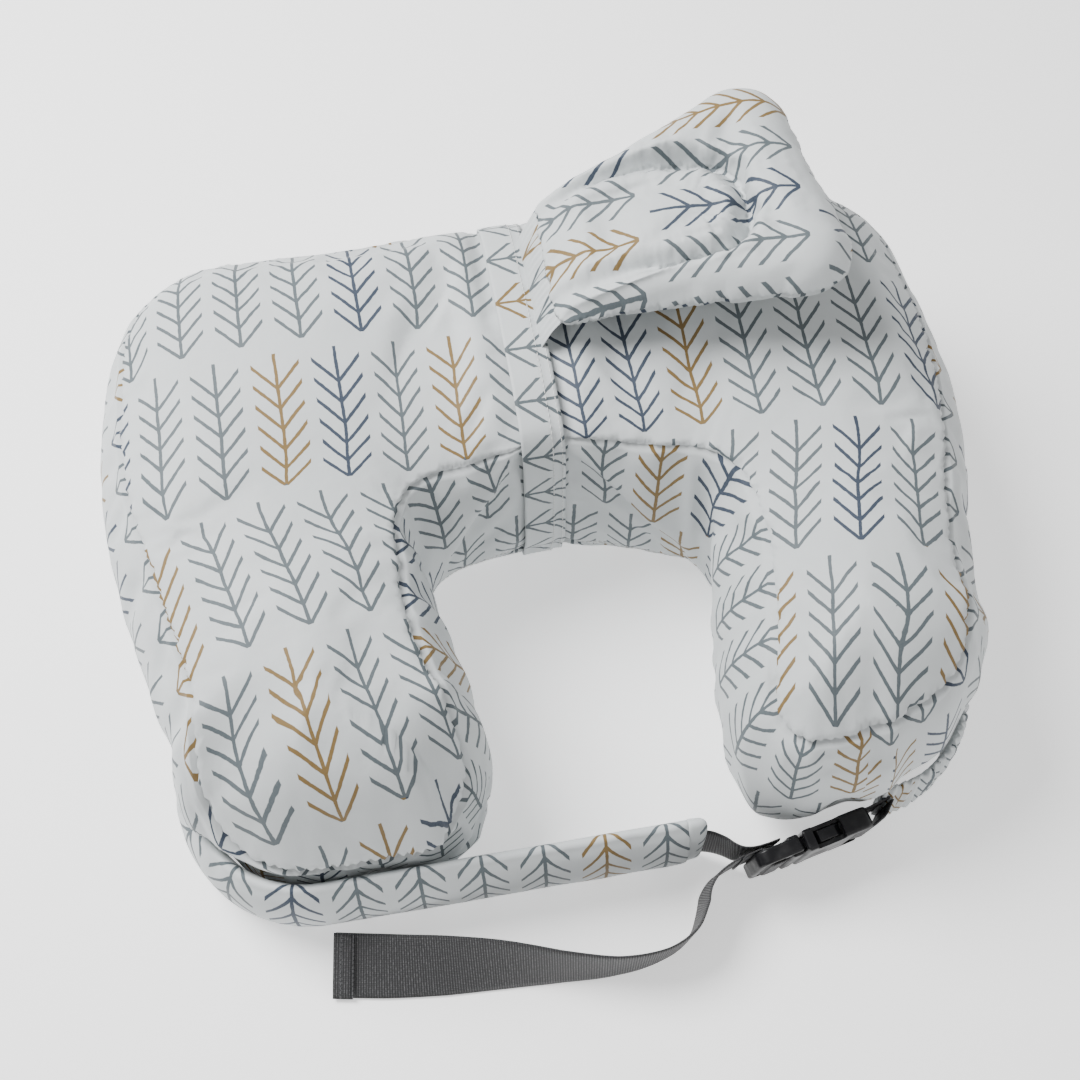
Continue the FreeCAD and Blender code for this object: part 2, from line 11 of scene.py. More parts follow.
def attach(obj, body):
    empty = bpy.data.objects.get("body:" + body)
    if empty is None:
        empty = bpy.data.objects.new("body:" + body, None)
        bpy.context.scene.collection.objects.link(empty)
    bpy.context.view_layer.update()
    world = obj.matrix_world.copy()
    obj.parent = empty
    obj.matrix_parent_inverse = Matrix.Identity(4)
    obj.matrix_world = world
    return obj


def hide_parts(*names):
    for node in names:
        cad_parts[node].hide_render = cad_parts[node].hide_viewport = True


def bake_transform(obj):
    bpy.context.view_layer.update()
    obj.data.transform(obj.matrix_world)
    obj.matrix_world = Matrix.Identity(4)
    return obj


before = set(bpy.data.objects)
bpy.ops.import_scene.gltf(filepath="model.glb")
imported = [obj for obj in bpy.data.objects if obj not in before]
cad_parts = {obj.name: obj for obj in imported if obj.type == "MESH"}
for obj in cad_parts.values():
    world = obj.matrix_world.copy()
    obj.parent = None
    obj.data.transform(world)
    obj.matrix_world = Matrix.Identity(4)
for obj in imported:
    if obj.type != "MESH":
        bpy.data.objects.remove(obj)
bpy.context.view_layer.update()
MM = 0.001

# ------------------------------------------------------------------ driving sizes
SEAM_TOP_Z = 147 * MM
SEAM_UNDER_Z = 17 * MM
UNDER_INSET = 9 * MM  # how far the under seam lies inside the wall's fullest line
CROWN = 20 * MM
CROWN_REACH = 30 * MM
EDGE = 5.5 * MM  # mesh spacing on the pillow before it is subdivided
FRONT_Y = -182 * MM
OUTSIDE_CORNERS = [(214, -182, 62), (270, 50, 300), (258, 214, 92)]
INSIDE_RIGHT = [(14, 19, 60), (104, -6, 24), (76, -182, 36)]
INSIDE_LEFT = [(89, 9, 22), (56, -182, 40)]
SECTION_CENTRE = (121 * MM, 84 * MM)  # y and z of the back section's middle
BAND_HALF = 13 * MM
ZIP_Z = 37 * MM
ZIP_NEAR_X, ZIP_FAR_X = -30 * MM, -154 * MM
CUSHION_ORIGIN = np.array([15, 0, 171]) * MM
CUSHION_TILT = math.radians(13)
PRINT_PITCH = 35.7 * MM
PRINT_RISE = 98 * MM

# ------------------------------------------------------------------ camera, light and floor


def look_at(obj, place, target):
    obj.location = place
    obj.rotation_euler = (Vector(place) - Vector(target)).to_track_quat("Z", "Y").to_euler()
    bpy.context.scene.collection.objects.link(obj)


def place_camera():
    data = bpy.data.cameras.new("camera")
    data.lens, data.sensor_width = 50, 36
    azimuth, elevation = math.radians(-10), math.radians(61)
    back = Vector((math.sin(azimuth) * math.cos(elevation),
                   -math.cos(azimuth) * math.cos(elevation), math.sin(elevation)))
    target = Vector((-0.005, 0.010, 0.06))
    camera = bpy.data.objects.new("camera", data)
    look_at(camera, target + back * 0.95, target)
    bpy.context.scene.camera = camera


def area_light(name, place, size, watts):
    data = bpy.data.lights.new(name, "AREA")
    data.shape, data.size, data.energy = "DISK", size, watts
    look_at(bpy.data.objects.new(name, data), place, (0, 0, 0.06))


def place_lights():
    area_light("key_light", (-0.85, 0.55, 1.4), 1.0, 60)
    area_light("fill_light", (1.1, -1.0, 1.2), 1.6, 7)
    world = bpy.data.worlds.new("studio")
    world.use_nodes = True
    sky = world.node_tree.nodes["Background"].inputs
    sky["Color"].default_value = (1.0, 1.0, 1.0, 1)
    sky["Strength"].default_value = 0.5
    bpy.context.scene.world = world


# ------------------------------------------------------------------ shader nodes


class Nodes:
    """Adds nodes to a tree and links them, with numbers or sockets as inputs."""

    def __init__(self, tree):
        self.tree = tree

    def add(self, kind, inputs=(), output=0, **settings):
        node = self.tree.nodes.new(kind)
        for name, value in settings.items():
            setattr(node, name, value)
        for key, value in dict(inputs).items():
            self.put(node.inputs[key], value)
        return node.outputs[output]

    def put(self, socket, value):
        if isinstance(value, bpy.types.NodeSocket):
            self.tree.links.new(value, socket)
        elif isinstance(value, tuple) and len(value) == 3 and socket.type == "RGBA":
            socket.default_value = (*value, 1)
        else:
            socket.default_value = value

    def math(self, operation, *values):
        return self.add("ShaderNodeMath", dict(enumerate(values)), operation=operation)

    def noise(self, place, scale, detail=2.0, roughness=0.5):
        values = {"Vector": place, "Scale": scale, "Detail": detail, "Roughness": roughness}
        return self.add("ShaderNodeTexNoise", values)

    def stretch(self, place, scale):
        return self.add("ShaderNodeVectorMath", {0: place, 1: scale}, operation="MULTIPLY")

    def between(self, value, low, high, out_low=0.0, out_high=1.0):
        values = {"Value": value, "From Min": low, "From Max": high,
                  "To Min": out_low, "To Max": out_high}
        return self.add("ShaderNodeMapRange", values, interpolation_type="SMOOTHSTEP")

    def mix(self, factor, first, second, blend="MIX"):
        node = self.tree.nodes.new("ShaderNodeMix")
        node.data_type, node.blend_type = "RGBA", blend
        self.put(node.inputs["Factor"], factor)
        self.put([s for s in node.inputs if s.name == "A" and s.type == "RGBA"][0], first)
        self.put([s for s in node.inputs if s.name == "B" and s.type == "RGBA"][0], second)
        return [s for s in node.outputs if s.type == "RGBA"][0]


def shader_group(name, inputs, outputs):
    """An empty node group, its input and output nodes, and the helper to fill it."""
    tree = bpy.data.node_groups.new(name, "ShaderNodeTree")
    for label, kind, value in inputs:
        socket = tree.interface.new_socket(label, in_out="INPUT", socket_type=kind)
        if value is not None:
            socket.default_value = value
    for label, kind in outputs:
        tree.interface.new_socket(label, in_out="OUTPUT", socket_type=kind)
    start = tree.nodes.new("NodeGroupInput")
    end = tree.nodes.new("NodeGroupOutput")
    return tree, start.outputs, end.inputs, Nodes(tree)


def fir_print_group():
    """The printed sprigs: a stem with six pairs of rising branches, in staggered rows."""
    tree, given, wanted, n = shader_group(
        "fir print", [("Place", "NodeSocketVector", None), ("Stroke", "NodeSocketFloat", 1.04 * MM)],
        [("Ink", "NodeSocketFloat")])
    parts = n.add("ShaderNodeSeparateXYZ", {0: given["Place"]}).node.outputs
    wobble_x = n.math("MULTIPLY_ADD", n.noise(given["Place"], 55.0), 1.0 * MM, -0.5 * MM)
    shifted = n.add("ShaderNodeVectorMath", {0: given["Place"], 1: (3.1, 1.7, 0.0)}, operation="ADD")
    wobble_y = n.math("MULTIPLY_ADD", n.noise(shifted, 45.0), 1.0 * MM, -0.5 * MM)
    across, up = n.math("ADD", parts[0], wobble_x), n.math("ADD", parts[1], wobble_y)
    row = n.math("FLOOR", n.math("DIVIDE", up, PRINT_RISE))
    height = n.math("SUBTRACT", up, n.math("MULTIPLY", row, PRINT_RISE))
    stagger = n.math("MULTIPLY", n.math("FLOORED_MODULO", row, 2.0), 0.5)
    column = n.math("ADD", n.math("DIVIDE", across, PRINT_PITCH), stagger)
    side = n.math("MULTIPLY", n.math("SUBTRACT", column, n.math("ROUND", column)), PRINT_PITCH)
    side = n.math("ABSOLUTE", side)
    branch_height = n.math("SUBTRACT", height, n.math("MULTIPLY", side, 1.15))
    number = n.math("ROUND", n.math("DIVIDE", branch_height, 13.3 * MM))
    number = n.math("MINIMUM", n.math("MAXIMUM", number, 0.0), 5.0)
    gap = n.math("SUBTRACT", branch_height, n.math("MULTIPLY", number, 13.3 * MM))
    branch = n.math("MULTIPLY", n.math("ABSOLUTE", gap), 0.656)
    branch = n.math("MAXIMUM", branch, n.math("SUBTRACT", side, 13.3 * MM))
    stem = n.math("MAXIMUM", side, n.math("SUBTRACT", height, 89 * MM))
    stem = n.math("MAXIMUM", stem, n.math("MULTIPLY", height, -1.0))
    distance = n.math("MINIMUM", branch, stem)
    uneven = n.between(n.noise(given["Place"], 240.0), 0.2, 0.8, 0.8, 1.15)
    width = n.math("MULTIPLY", uneven, given["Stroke"])
    edge = n.math("SUBTRACT", distance, width)
    n.put(wanted["Ink"], n.between(edge, -0.15 * MM, 0.15 * MM, 1.0, 0.0))
    return tree


def weave_group():
    """A plain weave's height, 0 to 1, and the way light and dark threads vary it."""
    tree, given, wanted, n = shader_group(
        "plain weave", [("Place", "NodeSocketVector", None), ("Thread", "NodeSocketFloat", 0.42 * MM)],
        [("Height", "NodeSocketFloat"), ("Slub", "NodeSocketFloat")])
    parts = n.add("ShaderNodeSeparateXYZ", {0: given["Place"]}).node.outputs
    turns = [n.math("MULTIPLY", n.math("DIVIDE", p, given["Thread"]), math.pi) for p in parts[:2]]
    over = n.math("MULTIPLY", n.math("SINE", turns[0]), n.math("SINE", turns[1]))
    n.put(wanted["Height"], n.math("MULTIPLY_ADD", over, 0.5, 0.5))
    streaks = [n.noise(n.stretch(given["Place"], scale), 1.0)
               for scale in ((1500.0, 60.0, 1.0), (60.0, 1500.0, 1.0))]
    n.put(wanted["Slub"], n.math("MULTIPLY", n.math("ADD", *streaks), 0.5))
    return tree


def material(name):
    made = bpy.data.materials.new(name)
    made.use_nodes = True
    return made, Nodes(made.node_tree), made.node_tree.nodes["Principled BSDF"].inputs


def group_node(n, tree, inputs):
    node = n.tree.nodes.new("ShaderNodeGroup")
    node.node_tree = tree
    for key, value in inputs.items():
        n.put(node.inputs[key], value)
    return node.outputs


def bump(n, height, distance, strength=1.0, normal=None):
    values = {"Height": height, "Distance": distance, "Strength": strength}
    if normal is not None:
        values["Normal"] = normal
    return n.add("ShaderNodeBump", values)


def printed_cotton(printed=True, name="printed_cotton"):
    made, n, surface = material(name)
    place = n.add("ShaderNodeUVMap", uv_map="cloth")
    where = n.add("ShaderNodeTexCoord", output=3)
    weave = group_node(n, GROUPS["weave"], {"Place": place})
    soft = n.noise(where, 18.0, 3.0)
    cloth = n.mix(soft, (0.525, 0.553, 0.560), (0.588, 0.616, 0.623))
    cloth = n.mix(n.math("MULTIPLY", weave["Slub"], 0.3), cloth, (0.50, 0.515, 0.515))
    if printed:
        shade = n.add("ShaderNodeAttribute", attribute_name="shade", output=2)
        tint = n.mix(n.math("GREATER_THAN", shade, 0.25), (0.058, 0.078, 0.089), (0.001, 0.015, 0.042))
        tint = n.mix(n.math("GREATER_THAN", shade, 0.75), tint, (0.155, 0.084, 0.003))
        tint = n.mix(n.noise(place, 900.0, 3.0), tint, n.mix(0.08, tint, (0.7, 0.7, 0.7)))
        ink = group_node(n, GROUPS["fir"], {"Place": place})["Ink"]
        cloth = n.mix(n.math("MULTIPLY", ink, 0.97), cloth, tint)
    n.put(surface["Base Color"], cloth)
    n.put(surface["Roughness"], n.between(weave["Slub"], 0.3, 0.7, 0.5, 0.66))
    surface["Specular IOR Level"].default_value = 0.22
    surface["Sheen Weight"].default_value = 0.05
    surface["Sheen Roughness"].default_value = 0.45
    creases = n.noise(where, 55.0, 4.0, 0.55)
    normal = bump(n, creases, 1.6 * MM, 0.35)
    n.put(surface["Normal"], bump(n, weave["Height"], 0.05 * MM, 0.5, normal))
    return made


def ribbed_webbing():
    """Nylon webbing: cross ribs 1.3 mm apart, each of raised threads; the grooves are darkened with
    painted shade, and the rib crests carry pale specks of painted glint.
    """
    made, n, surface = material("ribbed_webbing")
    place = n.add("ShaderNodeUVMap", uv_map="cloth")
    parts = n.add("ShaderNodeSeparateXYZ", {0: place}).node.outputs
    rib = n.math("SINE", n.math("MULTIPLY", parts[1], 2 * math.pi / (1.5 * MM)))
    thread = n.math("SINE", n.math("MULTIPLY", parts[0], 2 * math.pi / (1.1 * MM)))
    height = n.math("MULTIPLY_ADD", n.math("ADD", rib, n.math("MULTIPLY", thread, 0.5)), 0.33, 0.5)
    # Painted glint: pale specks, masked to the rib crests only.
    crest_glint_noise = n.noise(n.stretch(place, (900.0, 650.0, 1.0)), 1.0)
    pale = n.math("MULTIPLY", n.between(crest_glint_noise, 0.48, 0.62), n.between(rib, -0.1, 0.7))
    # Painted shade: the rib grooves are coloured darker than the crests.
    colour = n.mix(n.between(height, 0.1, 0.9), (0.020, 0.020, 0.021), (0.062, 0.062, 0.064))
    colour = n.mix(n.math("MULTIPLY", pale, 0.5), colour, (0.17, 0.17, 0.175))
    edge = n.between(n.math("ABSOLUTE", parts[0]), 16.8 * MM, 18.2 * MM)
    n.put(surface["Base Color"], n.mix(n.math("MULTIPLY", edge, 0.55), colour, (0.022, 0.022, 0.023)))
    n.put(surface["Roughness"], n.between(height, 0.0, 1.0, 0.62, 0.48))
    surface["Specular IOR Level"].default_value = 0.3
    n.put(surface["Normal"], bump(n, height, 0.35 * MM, 0.8))
    return made


def moulded_plastic(name, dark, pale, roughness):
    """Satin moulded plastic: fine spark-eroded grain and rubbed patches."""
    made, n, surface = material(name)
    where = n.add("ShaderNodeTexCoord", output=3)
    grain = n.noise(where, 2600.0, 2.0)
    rubbed = n.noise(where, 90.0, 3.0, 0.6)
    n.put(surface["Base Color"], n.mix(n.between(rubbed, 0.45, 0.75), dark, pale))
    n.put(surface["Roughness"], n.between(rubbed, 0.3, 0.75, roughness - 0.08, roughness + 0.1))
    surface["Specular IOR Level"].default_value = 0.25
    n.put(surface["Normal"], bump(n, grain, 0.05 * MM, 0.35))
    return made


def zip_metal():
    """Nickel-plated metal, worn a little duller and warmer in patches."""
    made, n, surface = material("nickel_plate")
    where = n.add("ShaderNodeTexCoord", output=3)
    wear = n.noise(where, 400.0, 4.0, 0.6)
    n.put(surface["Base Color"], n.mix(wear, (0.46, 0.45, 0.43), (0.62, 0.61, 0.59)))
    surface["Metallic"].default_value = 1.0
    n.put(surface["Roughness"], n.between(wear, 0.3, 0.7, 0.24, 0.42))
    n.put(surface["Normal"], bump(n, n.noise(where, 1800.0), 0.02 * MM, 0.3))
    return made


def ribbed_tape(name, colour, pitch, depth):
    """Zip tape or coil: ribs across its length in the object's own X, with painted shade darkening the
    rib grooves, and random dirt.
    """
    made, n, surface = material(name)
    where = n.add("ShaderNodeTexCoord", output=3)
    parts = n.add("ShaderNodeSeparateXYZ", {0: where}).node.outputs
    lean = n.math("MULTIPLY_ADD", parts[2], 0.35, parts[0])
    rib = n.math("SINE", n.math("MULTIPLY", lean, 2 * math.pi / pitch))
    height = n.math("MULTIPLY_ADD", rib, 0.5, 0.5)
    dirt = n.noise(where, 220.0, 3.0)
    # Painted shade and real dirt: the colour darkens in the rib grooves and in random dirty patches.
    groove_shade_and_dirt_tone = tuple(0.72 * c for c in colour)
    n.put(surface["Base Color"], n.mix(n.math("MULTIPLY", height, dirt), groove_shade_and_dirt_tone, colour))
    n.put(surface["Roughness"], n.between(dirt, 0.2, 0.8, 0.5, 0.7))
    n.put(surface["Normal"], bump(n, height, depth, 0.9))
    return made


def sewing_thread(name, colour):
    made, n, surface = material(name)
    where = n.add("ShaderNodeTexCoord", output=3)
    ply = n.noise(where, 3000.0, 2.0)
    n.put(surface["Base Color"], n.mix(ply, tuple(0.7 * c for c in colour), colour))
    n.put(surface["Roughness"], n.between(ply, 0.3, 0.7, 0.45, 0.65))
    surface["Sheen Weight"].default_value = 0.2
    n.put(surface["Normal"], bump(n, ply, 0.08 * MM, 0.6))
    return made


def floor_paper():
    made, n, surface = material("studio_paper")
    where = n.add("ShaderNodeTexCoord", output=3)
    tone = n.noise(where, 3.0)
    n.put(surface["Base Color"], n.mix(tone, (0.86, 0.86, 0.86), (0.88, 0.88, 0.88)))
    surface["Emission Color"].default_value = (1, 1, 1, 1)
    surface["Emission Strength"].default_value = 0.7
    surface["Roughness"].default_value = 0.8
    return made


# ------------------------------------------------------------------ plan outlines


def rounded_loop(corners, radii, spacing, closed=True):
    """Evenly spaced points along straight runs with a tangent arc at each corner."""
    points = [np.array(c, float) for c in corners]
    count = len(points)
    dense = []
    for i in range(count):
        radius = radii[i]
        if radius == 0 or (not closed and i in (0, count - 1)):
            dense.append(points[i][None])
            continue
        to_last = points[i - 1] - points[i]
        to_next = points[(i + 1) % count] - points[i]
        to_last /= np.linalg.norm(to_last)
        to_next /= np.linalg.norm(to_next)
        half = math.acos(np.clip(to_last @ to_next, -1, 1)) / 2
        bisector = (to_last + to_next) / np.linalg.norm(to_last + to_next)
        centre = points[i] + bisector * radius / math.sin(half)
        start = points[i] + to_last * radius / math.tan(half) - centre
        sweep = math.pi - 2 * half
        turn = np.sign(to_last[0] * to_next[1] - to_last[1] * to_next[0])
        angles = -turn * np.linspace(0, sweep, 40)
        cos, sin = np.cos(angles), np.sin(angles)
        arc = np.stack([start[0] * cos - start[1] * sin, start[0] * sin + start[1] * cos], 1)
        dense.append(centre + arc)
    dense = np.concatenate(dense)
    if closed:
        dense = np.concatenate([dense, dense[:1]])
    along = run_along(dense)
    number = max(3, round(along[-1] / spacing))
    targets = np.linspace(0, along[-1], number + 1)
    if closed:
        targets = targets[:-1]
    return np.stack([np.interp(targets, along, dense[:, k]) for k in (0, 1)], 1)


def outward(loop):
    """Outward unit normals of a closed anticlockwise loop."""
    tangent = np.roll(loop, -1, 0) - np.roll(loop, 1, 0)
    tangent /= np.linalg.norm(tangent, axis=1)[:, None]
    return np.stack([tangent[:, 1], -tangent[:, 0]], 1)


def inside_loop(points, loop):
    x, y = points[:, 0][:, None], points[:, 1][:, None]
    x0, y0 = loop[:, 0][None], loop[:, 1][None]
    x1, y1 = np.roll(loop[:, 0], -1)[None], np.roll(loop[:, 1], -1)[None]
    crosses = (y0 > y) != (y1 > y)
    with np.errstate(divide="ignore", invalid="ignore"):
        at = x0 + (y - y0) * (x1 - x0) / (y1 - y0)
    return (crosses & (x < at)).sum(1) % 2 == 1


def run_along(points):
    """The distance along a line at each of its points."""
    return np.concatenate([[0], np.cumsum(np.linalg.norm(np.diff(points, axis=0), axis=1))])


def nearest(points, line):
    """The distance from each point to the nearest of a line's points, and that point's number."""
    gaps = [np.linalg.norm(part[:, None] - line[None], axis=2) for part in np.array_split(points, 12)]
    return np.concatenate([g.min(1) for g in gaps]), np.concatenate([g.argmin(1) for g in gaps])


def denser(values, times=4):
    """A closed list of points with more points evenly put in between."""
    share = (np.arange(times) / times)[None, :, None]
    ahead = np.roll(values, -1, 0)[:, None]
    return (values[:, None] * (1 - share) + ahead * share).reshape(-1, values.shape[1])


def fill_loop(loop, spacing):
    """Points of an even triangular lattice inside a loop, and the triangles that join them to it."""
    low, high = loop.min(0), loop.max(0)
    rows = []
    step_y = spacing * math.sqrt(3) / 2
    for k in range(int((high[1] - low[1]) / step_y) + 1):
        x = np.arange(low[0] + (k % 2) * spacing / 2, high[0], spacing)
        rows.append(np.stack([x, np.full_like(x, low[1] + k * step_y)], 1))
    lattice = np.concatenate(rows)
    lattice = lattice[(nearest(lattice, loop)[0] > 0.6 * spacing) & inside_loop(lattice, loop)]
    count = len(loop)
    edges = [(i, (i + 1) % count) for i in range(count)]
    points = [Vector(p) for p in np.concatenate([loop, lattice])]
    result = geometry.delaunay_2d_cdt(points, edges, [], 1, 1e-7)
    return lattice, [tuple(face) for face in result[2]]


# ------------------------------------------------------------------ mesh helpers


def mesh_object(name, verts, faces, cloth_uv=None, finish=None):
    """A smooth mesh. cloth_uv holds a place on the cloth, in metres, for each corner of each face."""
    mesh = bpy.data.meshes.new(name)
    mesh.from_pydata([tuple(v) for v in verts], [], [tuple(int(i) for i in f) for f in faces])
    mesh.update()
    mesh.polygons.foreach_set("use_smooth", [True] * len(mesh.polygons))
    if cloth_uv is not None:
        layer = mesh.uv_layers.new(name="cloth")
        layer.data.foreach_set("uv", np.asarray(cloth_uv, float).ravel())
    obj = bpy.data.objects.new(name, mesh)
    bpy.context.scene.collection.objects.link(obj)
    if finish is not None:
        mesh.materials.append(finish)
    return obj


def coords(obj, what="co"):
    out = np.empty(len(obj.data.vertices) * 3)
    obj.data.vertices.foreach_get(what, out)
    return out.reshape(-1, 3)


def set_coords(obj, points):
    obj.data.vertices.foreach_set("co", np.asarray(points, float).ravel())
    obj.data.update()


def normals(obj):
    return coords(obj, "normal")


def keep_values(obj, **values):
    """Stores one number a vertex, which subdivision carries to the new vertices."""
    for name, numbers in values.items():
        made = obj.data.attributes.new(name, "FLOAT", "POINT")
        made.data.foreach_set("value", np.asarray(numbers, float))


def kept(obj, name):
    out = np.empty(len(obj.data.vertices))
    obj.data.attributes[name].data.foreach_get("value", out)
    return out


def smooth_step(x, start, end):
    t = np.clip((x - start) / (end - start), 0, 1)
    return t * t * (3 - 2 * t)


def hump(x, middle, width):
    return np.exp(-((x - middle) / width) ** 2)


def ripple(points, scale, seed=0.0):
    """Smooth noise from -1 to 1 at each point, after each axis is scaled."""
    scaled = points * np.array(scale)[None] + seed
    return np.array([noise.noise(Vector(p)) for p in scaled])


def vertex_group(obj, name, weights):
    made = obj.vertex_groups.new(name=name)
    weights = np.round(np.clip(weights, 0, 1), 2)
    for value in np.unique(weights):
        if value > 0:
            made.add([int(i) for i in np.nonzero(weights == value)[0]], float(value), "REPLACE")


def bake_modifiers(obj):
    """The evaluated mesh replaces the object's own, and the modifiers go."""
    graph = bpy.context.evaluated_depsgraph_get()
    made = bpy.data.meshes.new_from_object(obj.evaluated_get(graph), depsgraph=graph)
    old = obj.data
    obj.modifiers.clear()
    obj.data = made
    bpy.data.meshes.remove(old)


def subdivide(obj, levels=1):
    made = obj.modifiers.new("Subdivision", "SUBSURF")
    made.levels = made.render_levels = levels
    bake_modifiers(obj)


def inflate(obj, pin, shrink, pressure, frames, cap, shrink_by, bending):
    """Cloth pressure on a closed skin: it fills out, and takes up folds along its gathered seams."""
    rest = coords(obj)
    vertex_group(obj, "pin", pin)
    vertex_group(obj, "shrink", shrink)
    cloth = obj.modifiers.new("Cloth", "CLOTH")
    wanted = {
        "quality": 5, "mass": 0.2, "tension_stiffness": 18, "compression_stiffness": 12,
        "shear_stiffness": 6, "bending_stiffness": bending, "tension_damping": 12,
        "use_pressure": True, "uniform_pressure_force": pressure, "vertex_group_mass": "pin",
        "vertex_group_shrink": "shrink", "shrink_min": 0.0, "shrink_max": shrink_by,
    }
    for name, value in wanted.items():
        setattr(cloth.settings, name, value)
    cloth.settings.effector_weights.gravity = 0.0
    cloth.collision_settings.use_collision = False
    cloth.point_cache.frame_start = 1
    cloth.point_cache.frame_end = frames
    scene = bpy.context.scene
    for number in range(1, frames + 1):
        scene.frame_set(number)
    graph = bpy.context.evaluated_depsgraph_get()
    moved = np.empty(len(rest) * 3)
    obj.evaluated_get(graph).data.vertices.foreach_get("co", moved)
    shift = moved.reshape(-1, 3) - rest
    length = np.linalg.norm(shift, axis=1)
    shift *= np.minimum(1, cap / np.maximum(length, 1e-9))[:, None]
    obj.modifiers.clear()
    obj.vertex_groups.clear()
    scene.frame_set(1)
    set_coords(obj, rest + shift)


def tint_sprigs(obj, seed, chosen=()):
    """Gives each printed sprig its ink: 0 grey, 0.5 navy, 1 ochre. chosen is {(column, row): ink}."""
    mesh = obj.data
    count = len(mesh.loops)
    uv = np.empty(count * 2)
    mesh.uv_layers["cloth"].data.foreach_get("uv", uv)
    uv = uv.reshape(-1, 2)
    starts, totals = np.empty(len(mesh.polygons), int), np.empty(len(mesh.polygons), int)
    mesh.polygons.foreach_get("loop_start", starts)
    mesh.polygons.foreach_get("loop_total", totals)
    place = np.add.reduceat(uv, starts) / totals[:, None]
    row = np.floor(place[:, 1] / PRINT_RISE).astype(int)
    column = np.round(place[:, 0] / PRINT_PITCH + (row % 2) * 0.5).astype(int)
    mixed = (column * 7919 + row * 104729 + seed * 1299709) % 1009
    ink = np.where(mixed < 640, 0.0, np.where(mixed < 840, 0.5, 1.0))
    for (a, b), value in dict(chosen).items():
        ink[(column == a) & (row == b)] = value
    made = mesh.attributes.new("shade", "FLOAT", "FACE")
    made.data.foreach_set("value", ink)


def surface_of(*objects):
    """A tree of these objects' triangles for rays and nearest points."""
    verts, faces = [], []
    for obj in objects:
        base = len(verts)
        verts += [tuple(v.co) for v in obj.data.vertices]
        faces += [[base + i for i in p.vertices] for p in obj.data.polygons]
    return BVHTree.FromPolygons(verts, faces)


# ------------------------------------------------------------------ the pillow


def print_place(points):
    """Where points of the top panel lie on the flat cloth: both arms' print turns in by 12 degrees."""
    x, y = points[:, 0], points[:, 1]
    side = np.sign(x)
    angle = math.radians(12) * smooth_step(y, 52 * MM, -24 * MM)
    pivot_x, pivot_y = 187 * MM * side, 14 * MM
    dx, dy = (x - pivot_x) * -side, y - pivot_y
    turned_x = dx * np.cos(angle) + dy * np.sin(angle)
    turned_y = -dx * np.sin(angle) + dy * np.cos(angle)
    return np.stack([pivot_x - side * turned_x + 153 * MM, pivot_y + turned_y - 14 * MM], 1)


def pillow_outline():
    corners = OUTSIDE_CORNERS + [(-x, y, r) for x, y, r in reversed(OUTSIDE_CORNERS)]
    corners += [(-x, y, r) for x, y, r in reversed(INSIDE_LEFT)] + INSIDE_RIGHT
    corners = np.array(corners, float) * MM
    return rounded_loop(corners[:, :2], corners[:, 2], EDGE)


def top_seam(loop):
    """The top seam along the outline: how far inside it, and how low at the drooping tips."""
    x, y = loop.T / MM
    left = np.interp(-y, [-24, 0, 60, 90, 150, 182], [5, 8, 18, 20, 8, 3])
    right = np.interp(-y, [-24, 0, 48, 110, 150, 182], [5, 10, 23, 20, 16, 8])
    outside = np.where(x < 0, np.interp(-y, [100, 160, 182], [14, 6, 3]), 14.0)
    inset = np.where((np.abs(x) < 150) & (y < 120), np.where(x < 0, left, right), outside)
    for _ in range(4):
        inset = sum(np.roll(inset, k) for k in (2, 1, 0, -1, -2)) / 5
    droop = np.where(x < 0, 72 * smooth_step(y, -112, -172), 20 * smooth_step(y, -118, -178))
    return inset * MM, SEAM_TOP_Z - droop * MM


SLOPE_CLOTH = 0.36  # cloth taken up by a slope, as a part of its drop


def drape(lattice, seam, drop):
    """How far the top panel falls towards the parts of its seam that lie low."""
    gap = np.linalg.norm(lattice[:, None] - seam[None], axis=2)
    weight = 1 / (gap ** 3 + (4 * MM) ** 3)
    weight /= weight.sum(1)[:, None]
    return (weight * drop).sum(1) * np.exp(-(gap.min(1) / (46 * MM)) ** 1.3)


